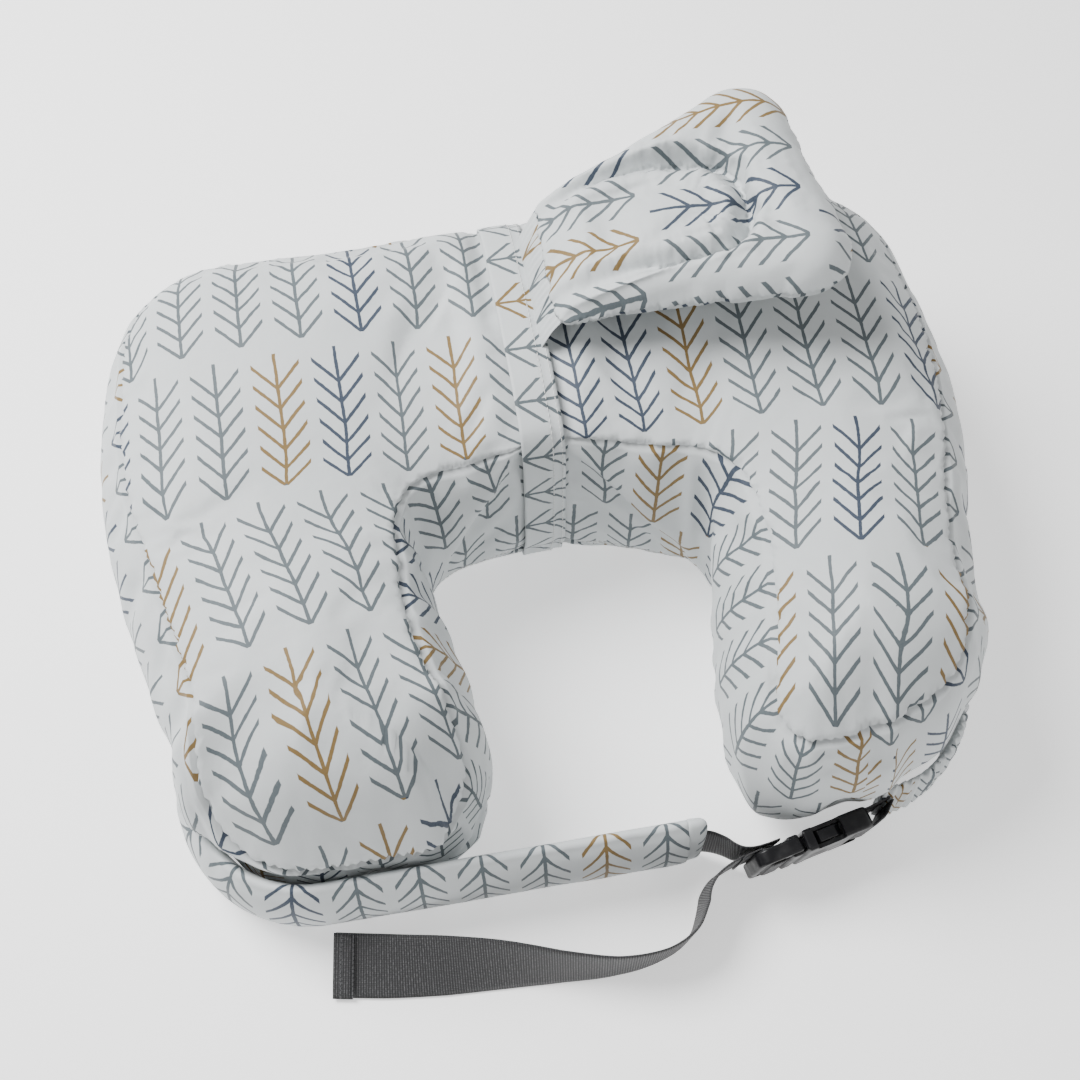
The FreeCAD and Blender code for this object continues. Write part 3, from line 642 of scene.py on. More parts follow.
def pillow_shell():
    """The closed skin before it is filled: a top and an under panel on a wall that bulges."""
    loop = pillow_outline()
    count = len(loop)
    normal = outward(loop)
    inset, seam_z = top_seam(loop)
    seam = loop - normal * inset[:, None]
    lattice, triangles = fill_loop(seam, EDGE)
    reach, foot = nearest(lattice, seam)
    crown = CROWN * (1 - np.exp(-reach / CROWN_REACH))
    fall = drape(lattice, seam, SEAM_TOP_Z - seam_z)
    top = np.column_stack([lattice, SEAM_TOP_Z + crown - fall])
    under = np.column_stack([lattice, SEAM_UNDER_Z * np.exp(-reach / (9 * MM))])
    rows = round((SEAM_TOP_Z - SEAM_UNDER_Z) / EDGE)
    heights = SEAM_TOP_Z + (SEAM_UNDER_Z - SEAM_TOP_Z) * np.arange(rows + 1) / rows
    rings = []
    for k in range(rows + 1):
        t = k / rows
        bulge = inset * (1 - math.sin(math.pi / 2 * min(t / 0.55, 1)) ** 0.8)
        bulge = bulge + UNDER_INSET * (1 - math.sin(math.pi / 2 * min((1 - t) / 0.3, 1)) ** 0.8)
        height = seam_z + (SEAM_UNDER_Z - seam_z) * t
        rings.append(np.column_stack([loop - normal * bulge[:, None], height]))
    verts = np.concatenate(rings + [top, under])
    ring_number = np.repeat(np.arange(rows + 1), count)
    lattice_start = (rows + 1) * count
    feet = np.concatenate([np.tile(np.arange(count), rows + 1), foot, foot])
    ones, zeros = np.ones(len(lattice)), np.zeros(len(lattice))
    from_top = np.concatenate([SEAM_TOP_Z - heights[ring_number], reach, ones])
    from_under = np.concatenate([heights[ring_number] - SEAM_UNDER_Z, ones, reach])
    is_top = np.concatenate([np.zeros(lattice_start), ones, zeros])
    seam_mark = np.zeros(len(verts))
    seam_mark[:count] = 1
    seam_mark[rows * count:lattice_start] = 1

    flat = np.concatenate([seam, lattice])
    flat[:, 1] -= SLOPE_CLOTH * np.concatenate([SEAM_TOP_Z - seam_z, fall])
    flat = print_place(flat)
    faces, uv = [], []
    for triangle in triangles:
        faces.append([i if i < count else lattice_start + i - count for i in triangle])
        uv += [flat[i] for i in triangle]
    under_start = lattice_start + len(lattice)
    for triangle in triangles:
        corners = triangle[::-1]
        faces.append([rows * count + i if i < count else under_start + i - count for i in corners])
        uv += [flat[i] + (0.31, 0.17) for i in corners]
    step = np.linalg.norm(np.roll(loop, -1, 0) - loop, axis=1)
    along = np.concatenate([[0], np.cumsum(step)])
    middle = (loop + np.roll(loop, -1, 0)) / 2
    inner = (np.abs(middle[:, 0]) < 150 * MM) & (middle[:, 1] < 120 * MM)
    shift = np.where(inner, 84 * MM, 35 * MM)
    for k in range(rows):
        for i in range(count):
            j = (i + 1) % count
            faces.append([k * count + i, (k + 1) * count + i, (k + 1) * count + j, k * count + j])
            v0, v1 = heights[k] - shift[i], heights[k + 1] - shift[i]
            uv += [(along[i], v0), (along[i], v1), (along[i + 1], v1), (along[i + 1], v0)]
    values = {"foot_x": loop[feet, 0], "foot_y": loop[feet, 1], "from_top": from_top,
              "from_under": from_under, "is_top": is_top, "seam_mark": seam_mark}
    return verts, faces, uv, values, loop, normal


def cinch(x, y):
    """How tightly the band draws the filling in at a point of the back section, from 0 to 1."""
    beside = np.maximum(np.abs(x) - 11 * MM, 0) / (11 * MM)
    return np.exp(-beside ** 2) * smooth_step(y, -8 * MM, 8 * MM)


def pleat_depth(foot_x, foot_y):
    """How much the wall is gathered along the outline: most at the lap's corners and the tips."""
    def spot(x, y, size):
        return np.exp(-((foot_x - x * MM) ** 2 + (foot_y - y * MM) ** 2) / (size * MM) ** 2)
    depth = 1.0 * spot(-88, 18, 42) + 0.95 * spot(98, 18, 42) + 0.75 * spot(-78, -60, 60)
    depth += 0.75 * spot(-100, -175, 55) + 0.7 * spot(110, -175, 55) + 0.45 * spot(90, -70, 50)
    depth += 0.5 * spot(-214, -150, 70) + 0.35 * spot(214, -120, 70) + 0.45 * spot(0, 28, 40)
    return np.clip(depth + 0.12, 0, 1)


def crease_pillow(obj):
    """Seams pulled in, pleats down the walls, and short puckers that die away from the seams."""
    points, facing = coords(obj), normals(obj)
    foot = np.stack([kept(obj, "foot_x"), kept(obj, "foot_y"), points[:, 2]], 1)
    from_top, from_under, is_top = kept(obj, "from_top"), kept(obj, "from_under"), kept(obj, "is_top")
    gathered = pleat_depth(foot[:, 0], foot[:, 1])
    near_seam = np.minimum(from_top, from_under)
    on_wall = (from_top < 0.14) & (from_under < 0.14)
    slanted = foot + np.stack([foot[:, 2] * 0.18, foot[:, 2] * -0.12, np.zeros(len(foot))], 1)
    fine = ripple(foot, (95, 95, 9), 4.0)
    broad = ripple(slanted, (38, 38, 8), 11.0)
    sharp = 1 - 2.2 * np.abs(ripple(slanted, (46, 46, 7), 23.0))
    wall = on_wall * gathered * (3.4 * sharp + 2.4 * broad) * smooth_step(near_seam, 0, 14 * MM)
    puckers = 1.9 * fine * np.exp(-near_seam / (13 * MM)) * (0.35 + gathered)
    tufts = 1.8 * broad * np.exp(-near_seam / (30 * MM)) * gathered * (is_top > 0.5)
    undulation = 1.2 * ripple(points, (14, 14, 14), 31.0)
    x, y = points[:, 0], points[:, 1]
    around = np.arctan2(points[:, 2] - SECTION_CENTRE[1], y - SECTION_CENTRE[0])
    spokes = ripple(np.stack([around, np.sign(x), np.zeros(len(x))], 1), (5.5, 2, 1), 41.0)
    beside = smooth_step(np.abs(x), 12 * MM, 20 * MM) * np.exp(-np.abs(x) / (42 * MM)) * (y > 0)
    amount = wall + puckers + tufts + undulation + 3.2 * spokes * beside
    amount *= 1 - 0.8 * (np.abs(x) < 12 * MM) * (y > 6 * MM)
    amount -= 3.0 * (kept(obj, "seam_mark") > 0.9)
    amount *= smooth_step(points[:, 2], 0, 8 * MM)
    set_coords(obj, points + facing * (amount * MM)[:, None])


def limit_pillow(obj, loop, normal):
    """Keeps the skin off the floor, belt, sleeve and head cushion, and flat round the zip."""
    points = coords(obj)
    loop, normal = denser(loop), denser(normal)
    _, at = nearest(points[:, :2], loop)
    x, y, z = points[:, 0], points[:, 1], points[:, 2]
    outer = smooth_step(normal[at, 0] * np.sign(x), -0.8, -0.1)
    belt_lap = 12 * MM * smooth_step(z, 62 * MM, 74 * MM)
    belt_lap *= smooth_step(y, -92 * MM, -150 * MM) * (x < 0)
    sleeve_lap = 6 * MM * smooth_step(z, 56 * MM, 68 * MM) * smooth_step(y, -72 * MM, -118 * MM)
    sleeve_lap *= smooth_step(x, 150 * MM, 172 * MM)
    points[:, :2] += normal[at] * ((belt_lap + sleeve_lap) * outer)[:, None]
    bulge = smooth_step(x, 174 * MM, 152 * MM) * smooth_step(y, -118 * MM, -180 * MM) * (x > 0)
    y -= 12 * MM * bulge
    nearest_buckle = -191.5 * MM - 6 * MM * smooth_step(x, 106 * MM, 92 * MM)
    y[:] = np.where(x > 60 * MM, np.maximum(y, nearest_buckle), y)
    out = ((points[:, :2] - loop[at]) * normal[at]).sum(1)
    belted = (loop[at, 0] < 0) | (loop[at, 0] > 166 * MM)
    strapped = (loop[at, 1] < -55 * MM) & belted & (z < 65 * MM)
    facing_strap = strapped & ((normal[at, 1] < -0.05) | (np.abs(loop[at, 0]) > 190 * MM))
    excess = np.where(facing_strap, np.maximum(out + 0.5 * MM, 0), 0)
    points[:, :2] -= normal[at] * excess[:, None]
    rise = math.tan(CUSHION_TILT)
    ceiling = CUSHION_ORIGIN[2] - 3.5 * MM + (x - CUSHION_ORIGIN[0]) * rise
    covered = (x > 6 * MM) & (x < 215 * MM) & (y > 40 * MM)
    z[covered] = np.minimum(z[covered], ceiling[covered])
    z[:] = np.maximum(z, 0.2 * MM)
    across = smooth_step(x, ZIP_FAR_X - 26 * MM, ZIP_FAR_X - 8 * MM)
    across *= smooth_step(x, ZIP_NEAR_X + 26 * MM, ZIP_NEAR_X + 8 * MM)
    held = across * (y > 150 * MM) * smooth_step(np.abs(z - ZIP_Z), 26 * MM, 9 * MM)
    slot = (x > ZIP_FAR_X) & (x < ZIP_NEAR_X) & (np.abs(z - ZIP_Z) < 4.6 * MM) & (y > 150 * MM)
    y[:] = y + (213.6 * MM - y) * held
    y[slot] = 208.2 * MM
    set_coords(obj, points)


def make_pillow():
    verts, faces, uv, values, loop, normal = pillow_shell()
    obj = mesh_object("pillow", verts, faces, uv, FINISH["print"])
    keep_values(obj, **values)
    points, facing = coords(obj), normals(obj)
    tight = cinch(points[:, 0], points[:, 1])
    points -= facing * (tight * 6 * MM * smooth_step(points[:, 2], 0, 20 * MM))[:, None]
    set_coords(obj, points)
    near_seam = np.minimum(values["from_top"], values["from_under"])
    gathered = pleat_depth(values["foot_x"], values["foot_y"])
    held = np.maximum(points[:, 2] < 4 * MM, (tight > 0.95) & (points[:, 1] > 6 * MM)).astype(float)
    shrink = (0.45 + 0.55 * gathered) * np.exp(-near_seam / (7 * MM))
    inflate(obj, held, shrink, 3.2, 16, 7 * MM, 0.07, 1.5)
    subdivide(obj)
    crease_pillow(obj)
    limit_pillow(obj, loop, normal)
    tint_sprigs(obj, 3, TOP_SPRIGS)
    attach(obj, "pillow")
    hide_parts("fibre_fill", "cover_top_panel", "cover_outer_wall", "cover_inner_wall",
                "cover_under_panel")
    return obj


# Sprigs that aren't left to chance, by column and row of the top panel's print.
TOP_SPRIGS = {
    (-1, 1): 0, (0, 1): 0, (1, 1): 0, (2, 1): 0.5, (3, 1): 0, (4, 1): 0,
    (-2, 0): 0, (-1, 0): 0, (0, 0): 1, (1, 0): 0.5, (2, 0): 0, (3, 0): 1, (4, 0): 0,
    (-1, -1): 0, (0, -1): 0, (1, -1): 0, (2, -1): 0, (-2, -2): 0, (-1, -2): 1, (0, -2): 0, (1, -2): 0,
    (5, 0): 0.5, (6, 0): 0.5, (7, 0): 1, (8, 0): 0, (9, 0): 0, (10, 0): 0,
    (8, -1): 0, (9, -1): 0, (10, -1): 0.5, (11, -1): 0,
    (8, -2): 1, (9, -2): 0, (10, -2): 0, (11, -2): 1, (8, -3): 0, (9, -3): 0.5, (10, -3): 0.5,
}


# ------------------------------------------------------------------ band and head cushion


def make_band(pillow):
    """The wide fabric band round the back section, lying on the drawn-in skin."""
    skin = surface_of(pillow)
    across = np.linspace(-BAND_HALF, BAND_HALF, 15)
    turns = np.linspace(0, 2 * math.pi, 221)[:-1]
    radius = np.empty((len(turns), len(across)))
    for i, turn in enumerate(turns):
        ray = Vector((0, math.cos(turn), math.sin(turn)))
        for j, x in enumerate(across):
            hit = skin.ray_cast(Vector((x, *SECTION_CENTRE)), ray)
            radius[i, j] = hit[3]
    wide = np.pad(radius, ((2, 2), (0, 0)), "wrap")
    radius = np.max([wide[k:k + len(turns)] for k in range(5)], axis=0)
    radius = 0.5 * radius + 0.5 * radius.max(1)[:, None] + 0.5 * MM
    for _ in range(2):
        radius = (np.roll(radius, 1, 0) + 2 * radius + np.roll(radius, -1, 0)) / 4
    folded = 1.9 * MM - 0.8 * MM * smooth_step(across, 6.2 * MM, 7.6 * MM)
    lower, upper = radius, radius + folded[None] + 0.25 * MM * np.sin(turns * 23)[:, None]
    ray = np.stack([np.cos(turns), np.sin(turns)], 1)
    rings = []
    for distance, order in ((upper, slice(None)), (lower, slice(None, None, -1))):
        for j in range(len(across))[order]:
            yz = np.array(SECTION_CENTRE) + ray * distance[:, j, None]
            yz[:, 1] = np.maximum(yz[:, 1], 0.2 * MM)
            rings.append(np.column_stack([np.full(len(turns), across[j]), yz]))
    rings = np.array(rings)
    profile_x = np.concatenate([across, across[::-1]])
    middle = rings[7]
    step = np.linalg.norm(np.roll(middle, -1, 0) - middle, axis=1)
    along = np.concatenate([[0], np.cumsum(step)])
    count, size = len(turns), len(rings)
    faces, uv = [], []
    for k in range(size):
        m = (k + 1) % size
        for i in range(count):
            j = (i + 1) % count
            faces.append([k * count + i, k * count + j, m * count + j, m * count + i])
            v0, v1 = profile_x[k] + BAND_HALF, profile_x[m] + BAND_HALF
            uv += [(along[i], v0), (along[i + 1], v0), (along[i + 1], v1), (along[i], v1)]
    band = mesh_object("cushion_band", rings.reshape(-1, 3), faces, uv, FINISH["print"])
    tint_sprigs(band, 5, {(c, 0): 0 for c in range(-2, 40)} | {(4, 0): 1})
    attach(band, "pillow")
    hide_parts("head_band")
    at = [int(np.argmin(np.abs(across - u * MM))) for u in (5.6, 11.2)]
    lift = np.column_stack([np.zeros(count), ray]) * 0.15 * MM
    return band, [np.concatenate([rings[j] + lift, rings[j][:1] + lift[:1]]) for j in at]


def cushion_place(local):
    """From the cushion's own plane, (along, y, up), to the frame."""
    a, y, t = np.asarray(local, float).T
    cos, sin = math.cos(CUSHION_TILT), math.sin(CUSHION_TILT)
    return CUSHION_ORIGIN + np.stack([a * cos - t * sin, y, a * sin + t * cos], 1)


def smooth_line(points, number):
    """A quadratic B-spline through a given route, in millimetres, as points in metres."""
    p = np.array(points, float) * MM
    p = np.concatenate([p[:1], p, p[-1:]])
    out = []
    for i in range(len(p) - 2):
        t = np.linspace(0, 1, number, endpoint=False)[:, None]
        a, b, c = p[i], p[i + 1], p[i + 2]
        out.append(0.5 * ((a + b) + 2 * (b - a) * t + (a - 2 * b + c) * t * t))
    return np.concatenate(out)


CUSHION_CORNERS = [(5, 80, 12), (189, 46, 30), (169, 232, 36), (5, 174, 14)]
CHANNEL = [(0, 157), (22, 164), (50, 171), (84, 168), (112, 161), (128, 150), (131, 126),
           (129, 103), (112, 90), (84, 92), (58, 97), (30, 94), (10, 92)]
CUSHION_SEAM_T = 12 * MM


def make_cushion():
    """The head cushion: a thick rim and a flat middle, parted by a sewn channel on three sides."""
    corners = np.array(CUSHION_CORNERS, float) * MM
    spacing = 4.2 * MM
    loop = rounded_loop(corners[:, :2], corners[:, 2], spacing)
    lattice, triangles = fill_loop(loop, spacing)
    count = len(loop)
    plan = np.concatenate([loop, lattice])
    channel = smooth_line(CHANNEL, 8)
    reach = np.concatenate([np.zeros(count), nearest(lattice, loop)[0]])
    gap, at = nearest(plan, channel)
    part = at / len(channel)
    depth = smooth_step(part, 0.0, 0.22) * (1 - 0.75 * smooth_step(part, 0.72, 1.0))
    sewn = depth * np.exp(-(gap / (5.5 * MM)) ** 2)
    inner = smooth_step(reach, 26 * MM, 44 * MM)
    near_hinge = smooth_step(plan[:, 0], 45 * MM, 8 * MM)
    rounding = 1 - np.exp(-reach / (9 * MM))
    top = CUSHION_SEAM_T + (25 * MM - 5 * MM * inner - 7 * MM * near_hinge) * rounding
    top = top - sewn * np.minimum(17 * MM, top - CUSHION_SEAM_T)
    under = CUSHION_SEAM_T - 10.5 * MM * rounding + sewn * 4 * MM
    local = np.concatenate([np.column_stack([plan, top]), np.column_stack([plan, under])[count:]])
    tilt = math.radians(-7)
    da, dy = plan[:, 0] - 164 * MM, plan[:, 1] - 116 * MM
    cos, sin = math.cos(tilt), math.sin(tilt)
    flat = np.stack([dy * cos - da * sin, -da * cos - dy * sin], 1)
    faces, uv = [], []
    for triangle in triangles:
        faces.append(list(triangle))
        uv += [flat[i] for i in triangle]
    for triangle in triangles:
        flipped = triangle[::-1]
        faces.append([i if i < count else i + len(lattice) for i in flipped])
        uv += [flat[i] + (0.5, 0.25) for i in flipped]
    obj = mesh_object("head_cushion", cushion_place(local), faces, uv, FINISH["print"])

    def both(values):
        return np.concatenate([values, values[count:]])

    is_top = np.concatenate([np.ones(len(plan)), np.zeros(len(lattice))])
    at_rim = np.zeros(len(plan))
    at_rim[:count] = 1
    keep_values(obj, gap=both(gap), sewn=both(sewn), reach=both(reach), rim=both(at_rim),
                top_side=is_top, foot_a=both(channel[at, 0]), foot_b=both(channel[at, 1]))
    held = np.maximum(both(sewn) * 1.3, both(plan[:, 0] < 9 * MM) * 1.0)
    shrink = np.maximum(np.exp(-both(gap) / (9 * MM)) * both(depth), np.exp(-both(reach) / (7 * MM)))
    inflate(obj, held, shrink, 3.5, 14, 4.5 * MM, 0.09, 0.8)
    subdivide(obj, 2)
    crease_cushion(obj)
    tint_sprigs(obj, 11, {(0, 0): 0.5, (2, 0): 1, (1, 0): 0, (-1, 0): 0, (-2, 0): 0, (3, 0): 0,
                          (0, 1): 1, (1, 1): 0, (-1, 1): 0, (2, 1): 0.5, (3, 1): 1,
                          (0, -1): 0.5, (1, -1): 0.5, (-1, -1): 0, (2, -1): 0, (-2, -1): 0})
    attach(obj, "head_cushion")
    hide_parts("head_cushion_fill", "head_cushion_top_cover", "head_cushion_under_cover")
    return obj


def crease_cushion(obj):
    """Folds that run out from the sewn channel, a pulled-in edge seam and its puckers."""
    points, facing = coords(obj), normals(obj)
    gap, reach, sewn = kept(obj, "gap"), kept(obj, "reach"), kept(obj, "sewn")
    foot = np.stack([kept(obj, "foot_a"), kept(obj, "foot_b"), np.zeros(len(gap))], 1)
    corner = np.maximum(hump(foot[:, 0], 126 * MM, 22 * MM), 0.35)
    radial = ripple(foot, (120, 120, 1), 3.0) + 0.5 * ripple(foot, (240, 240, 1), 8.0)
    folds = 5.0 * radial * corner * np.exp(-gap / (15 * MM)) * smooth_step(gap, 0, 6 * MM)
    folds *= smooth_step(reach, 4 * MM, 20 * MM)
    edge = 1.3 * ripple(points, (80, 80, 80), 5.0) * np.exp(-reach / (9 * MM))
    hinge = 1.8 * ripple(points, (10, 120, 10), 15.0) * smooth_step(points[:, 0], 45 * MM, 18 * MM)
    soft = 1.0 * ripple(points, (22, 22, 22), 21.0)
    amount = folds + edge + hinge + soft - 1.6 * (kept(obj, "rim") > 0.9) - 1.0 * (sewn > 0.85)
    set_coords(obj, points + facing * (amount * MM)[:, None])


def make_cushion_neck(band):
    """The gathered strip that joins the cushion's near edge to the band, and bends at the hinge."""
    y = np.linspace(84, 172, 90) * MM
    skin = surface_of(band)
    height = [skin.ray_cast(Vector((9 * MM, v, 0.3)), Vector((0, 0, -1)))[0].z - 0.2 * MM for v in y]
    near = np.column_stack([np.full(len(y), 9.0 * MM), y, height])
    far = cushion_place(np.column_stack([np.full(len(y), 9.5 * MM), y, np.full(len(y), 12 * MM)]))
    rows, total = [], 9
    for k in range(total):
        t = k / (total - 1)
        row = near * (1 - t) + far * t
        row[:, 2] += math.sin(math.pi * t) * (2.2 + 0.9 * np.sin(y / MM * 1.3)) * MM
        rows.append(row)
    under = [row - (0, 0, 1.0 * MM) for row in rows[::-1]]
    rings = np.array(rows + under)
    size, count = len(rings), len(y)
    faces, uv = [], []
    for k in range(size):
        m = (k + 1) % size
        for i in range(count - 1):
            faces.append([k * count + i, m * count + i, m * count + i + 1, k * count + i + 1])
            uv += [(y[i] * 1.4, k * 1.6 * MM), (y[i] * 1.4, m * 1.6 * MM), (y[i + 1] * 1.4, m * 1.6 * MM),
                   (y[i + 1] * 1.4, k * 1.6 * MM)]
    for i, order in ((0, 1), (count - 1, -1)):
        faces.append([k * count + i for k in range(size)][::-order])
        uv += [(0, 0)] * size
    obj = mesh_object("cushion_neck", rings.reshape(-1, 3), faces, uv, FINISH["print"])
    tint_sprigs(obj, 7)
    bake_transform(obj)
    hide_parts("head_cushion_hinge_strip")
    return obj


# ------------------------------------------------------------------ belt and sleeve


def wrap_line(side, offset, start_y, end_x, spacing):
    """A path in plan round an arm's tip, at an offset from its wall. side is -1 on the left arm."""
    slope = (214 - 270) / (-182 - 50)
    shift = offset * math.hypot(56, 232) / 232
    front = FRONT_Y - offset
    start_x = 270 * MM + (start_y - 50 * MM) * slope + shift
    corner_x = 270 * MM + (front - 50 * MM) * slope + shift
    corners = [(side * start_x, start_y), (side * corner_x, front), (end_x, front)]
    return rounded_loop(corners, [0, 62 * MM + offset, 0], spacing, closed=False)


def padded_section(half_thick, half_height, number):
    """A closed section, thinner to its edges, from the middle of its outer face: (outward, up)."""
    turn = np.linspace(0, 2 * math.pi, 721)
    dense = np.stack([half_thick * np.cos(turn),
                      half_height * np.sign(np.sin(turn)) * np.abs(np.sin(turn)) ** 0.66], 1)
    run = run_along(dense)
    wanted = np.linspace(0, run[-1], number + 1)[:-1]
    return np.stack([np.interp(wanted, run, dense[:, k]) for k in (0, 1)], 1)


def sweep(name, line, side, section_at, middle_z, cloth_at, finish):
    """A closed tube along a plan line. section_at(k) gives each station's section."""
    tangent = np.gradient(line, axis=0)
    tangent /= np.linalg.norm(tangent, axis=1)[:, None]
    away = np.stack([tangent[:, 1], -tangent[:, 0]], 1) * -side
    along = run_along(line)
    rings = []
    for k in range(len(line)):
        section = section_at(k, along)
        plan = line[k] + away[k] * section[:, :1] + tangent[k] * section[:, 2:3]
        rings.append(np.column_stack([plan, middle_z + section[:, 1]]))
    size = len(rings[0])
    verts = np.concatenate(rings + [rings[0].mean(0)[None], rings[-1].mean(0)[None]])
    faces, uv = [], []
    for k in range(len(line) - 1):
        for i in range(size):
            j = (i + 1) % size
            face = [k * size + i, (k + 1) * size + i, (k + 1) * size + j, k * size + j]
            cloth = [cloth_at(along[k], i), cloth_at(along[k + 1], i), cloth_at(along[k + 1], i + 1),
                     cloth_at(along[k], i + 1)]
            faces.append(face if side < 0 else face[::-1])
            uv += cloth if side < 0 else cloth[::-1]
    for ring, centre in ((0, len(verts) - 2), (len(line) - 1, len(verts) - 1)):
        for i in range(size):
            j = (i + 1) % size
            face = [ring * size + i, ring * size + j, centre]
            backwards = (ring == 0) != (side < 0)
            faces.append(face[::-1] if backwards else face)
            uv += [(0, 0)] * 3
    return mesh_object(name, verts, faces, uv, finish), along


BELT_START_Y, BELT_END_X, BELT_Z = -102 * MM, 52 * MM, 32 * MM
BELT_HALF_THICK, BELT_HALF_HEIGHT = 6.3 * MM, 30.8 * MM
CAP_LENGTH = 10 * MM


def belt_section(size):
    """The belt's section: plump between its seams, thin where it is sewn to the arm."""
    base = padded_section(BELT_HALF_THICK, BELT_HALF_HEIGHT, size)
    outer = base[:, 0] > 0
    seam = np.exp(-((base[:, 1] - 27 * MM) / (1.4 * MM)) ** 2) * outer
    angle = np.arange(len(base))

    def at(k, along):
        s, left = along[k], along[-1] - along[k]
        start = 0.25 + 0.75 * smooth_step(s, 0, 22 * MM)
        section = base.copy()
        section[:, 0] *= start
        crown = 4.4 * MM * (1 - (base[:, 1] / BELT_HALF_HEIGHT) ** 2)
        section[:, 0] += np.where(outer, crown, -0.06 * crown) * start
        place = np.column_stack([np.full(len(base), s), base[:, 1], angle * 0.0])
        section[:, 0] += outer * 0.9 * MM * ripple(place, (30, 12, 1), 5.0)
        pucker = np.exp(-np.abs(base[:, 1] - 27 * MM) / (7 * MM)) * outer
        section[:, 0] += 0.9 * MM * pucker * ripple(place, (130, 30, 1), 9.0) - 1.5 * MM * seam
        section[:, 1] += 0.8 * MM * ripple(place, (25, 1, 1), 15.0)
        near_cap = np.exp(-left / (5 * MM))
        gathers = 0.7 * MM * near_cap * ripple(place, (8, 160, 1), 19.0)
        section[:, 0] += gathers - 0.6 * MM * near_cap * outer
        return np.column_stack([section, np.zeros(len(section))])
    return base, at


def make_belt():
    line = wrap_line(-1, 0.4 * MM + 6.5 * MM, BELT_START_Y, BELT_END_X + 6.3 * MM, 2.2 * MM)
    cut = len(line) - round(CAP_LENGTH / (2.2 * MM))
    base, at = belt_section(56)
    round_about = run_along(np.vstack([base, base[:1]]))
    total = np.linalg.norm(np.diff(line[:cut], axis=0), axis=1).sum()
    ochre_at = total - (BELT_END_X + 6.3 * MM - CAP_LENGTH + 1.5 * MM)

    def cloth(s, i):
        up = round_about[i] if i < len(base) / 2 else round_about[i] - round_about[-1]
        return s - ochre_at, 40.5 * MM - up

    belt, _ = sweep("belt", line[:cut], -1, at, BELT_Z, cloth, FINISH["print"])
    chosen = {(0, 0): 1, (-5, 0): 0.5, (0, -1): 0, (1, -1): 0}
    tint_sprigs(belt, 2, {(c, 0): 0 for c in range(-12, 6)} | chosen)
    subdivide(belt)
    cap_line = line[cut - 2:]
    length = np.linalg.norm(np.diff(cap_line, axis=0), axis=1).sum()

    def cap_at(k, along):
        section = base.copy()
        left = along[-1] - along[k]
        turn = math.sqrt(max(0.0, 1 - (1 - min(left / (6 * MM), 1)) ** 2))
        tall = 1 - 0.16 * (1 - math.sqrt(max(0.0, 1 - (1 - min(left / (9.5 * MM), 1)) ** 2)))
        section[:, 0] *= (0.35 + 0.65 * turn) * 1.06
        section[:, 1] *= tall * 1.01
        place = np.column_stack([base * 1.0, np.full(len(base), along[k])])
        section[:, 0] += 0.5 * MM * ripple(place, (60, 90, 60), 27.0) * np.sign(section[:, 0])
        if k <= 1:
            section[:, 0] *= 0.93 if k == 0 else 1.06
        return np.column_stack([section, np.zeros(len(section))])

    def cap_cloth(s, i):
        u, v = cloth(s, i)
        return u + total, v

    cap, _ = sweep("belt_cap", cap_line, -1, cap_at, BELT_Z, cap_cloth, FINISH["print"])
    tint_sprigs(cap, 2, {(c, 0): 0 for c in range(0, 9)})
    subdivide(cap)
    for piece, nodes in ((belt, ("belt_foam", "belt_cover")), (cap, ("belt_end_cap",))):
        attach(piece, "pillow")
        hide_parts(*nodes)
    return belt, cap, length


def make_sleeve():
    """The fabric tube gathered on its elastic, round the right arm's tip."""
    line = wrap_line(1, 0.4 * MM + 3.5 * MM, -68 * MM, 167 * MM, 0.9 * MM)
    base = padded_section(2.9 * MM, 25 * MM, 40)
    round_about = run_along(np.vstack([base, base[:1]]))
    outer = base[:, 0] > -1 * MM

    def at(k, along):
        s, left = along[k], along[-1] - along[k]
        section = base.copy()
        section[:, 0] *= 0.5 + 0.5 * smooth_step(s, 0, 15 * MM)
        place = np.column_stack([np.full(len(base), s), base[:, 1], np.zeros(len(base))])
        lean = ripple(place * (1, 1, 0), (60, 22, 1), 2.0)
        wave = np.sin(2 * math.pi * s / (5.4 * MM) + 2.6 * lean)
        gather = (1.25 * wave + 1.0 * ripple(place, (170, 24, 1), 6.0)) * MM
        section[:, 0] += gather * np.where(outer, 1.0, 0.15) * smooth_step(s, 0, 12 * MM)
        edge = np.abs(base[:, 1]) / (25 * MM)
        frill = (1.3 * np.sin(2 * math.pi * s / (7.5 * MM) + 3 * lean) - 0.6) * MM
        section[:, 1] += np.sign(base[:, 1]) * edge ** 3 * frill
        section[:, 1] *= 1 - 0.12 * math.exp(-left / (8 * MM))
        return np.column_stack([section, np.zeros(len(section))])

    def cloth(s, i):
        up = round_about[i] if i < len(base) / 2 else round_about[i] - round_about[-1]
        return s * 1.7, up * 1.1 + 60 * MM

    sleeve, _ = sweep("gathered_sleeve", line, 1, at, BELT_Z, cloth, FINISH["print"])
    tint_sprigs(sleeve, 17)
    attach(sleeve, "pillow")
    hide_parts("anchor_sleeve", "anchor_elastic")
    return sleeve


# ------------------------------------------------------------------ webbing

WEBBING_HALF = 19 * MM
WEBBING_THICK = 1.6 * MM
BUCKLE_START = np.array([82, -210, 27]) * MM
YAW, LEAN = math.radians(12), math.radians(8)
BUCKLE_ALONG = np.array([math.cos(YAW), math.sin(YAW), 0])
SIDEWAYS = np.array([math.sin(YAW), -math.cos(YAW), 0])
BUCKLE_UP = SIDEWAYS * math.sin(LEAN) + (0, 0, math.cos(LEAN))
BUCKLE_FRONT = SIDEWAYS * math.cos(LEAN) - (0, 0, math.sin(LEAN))

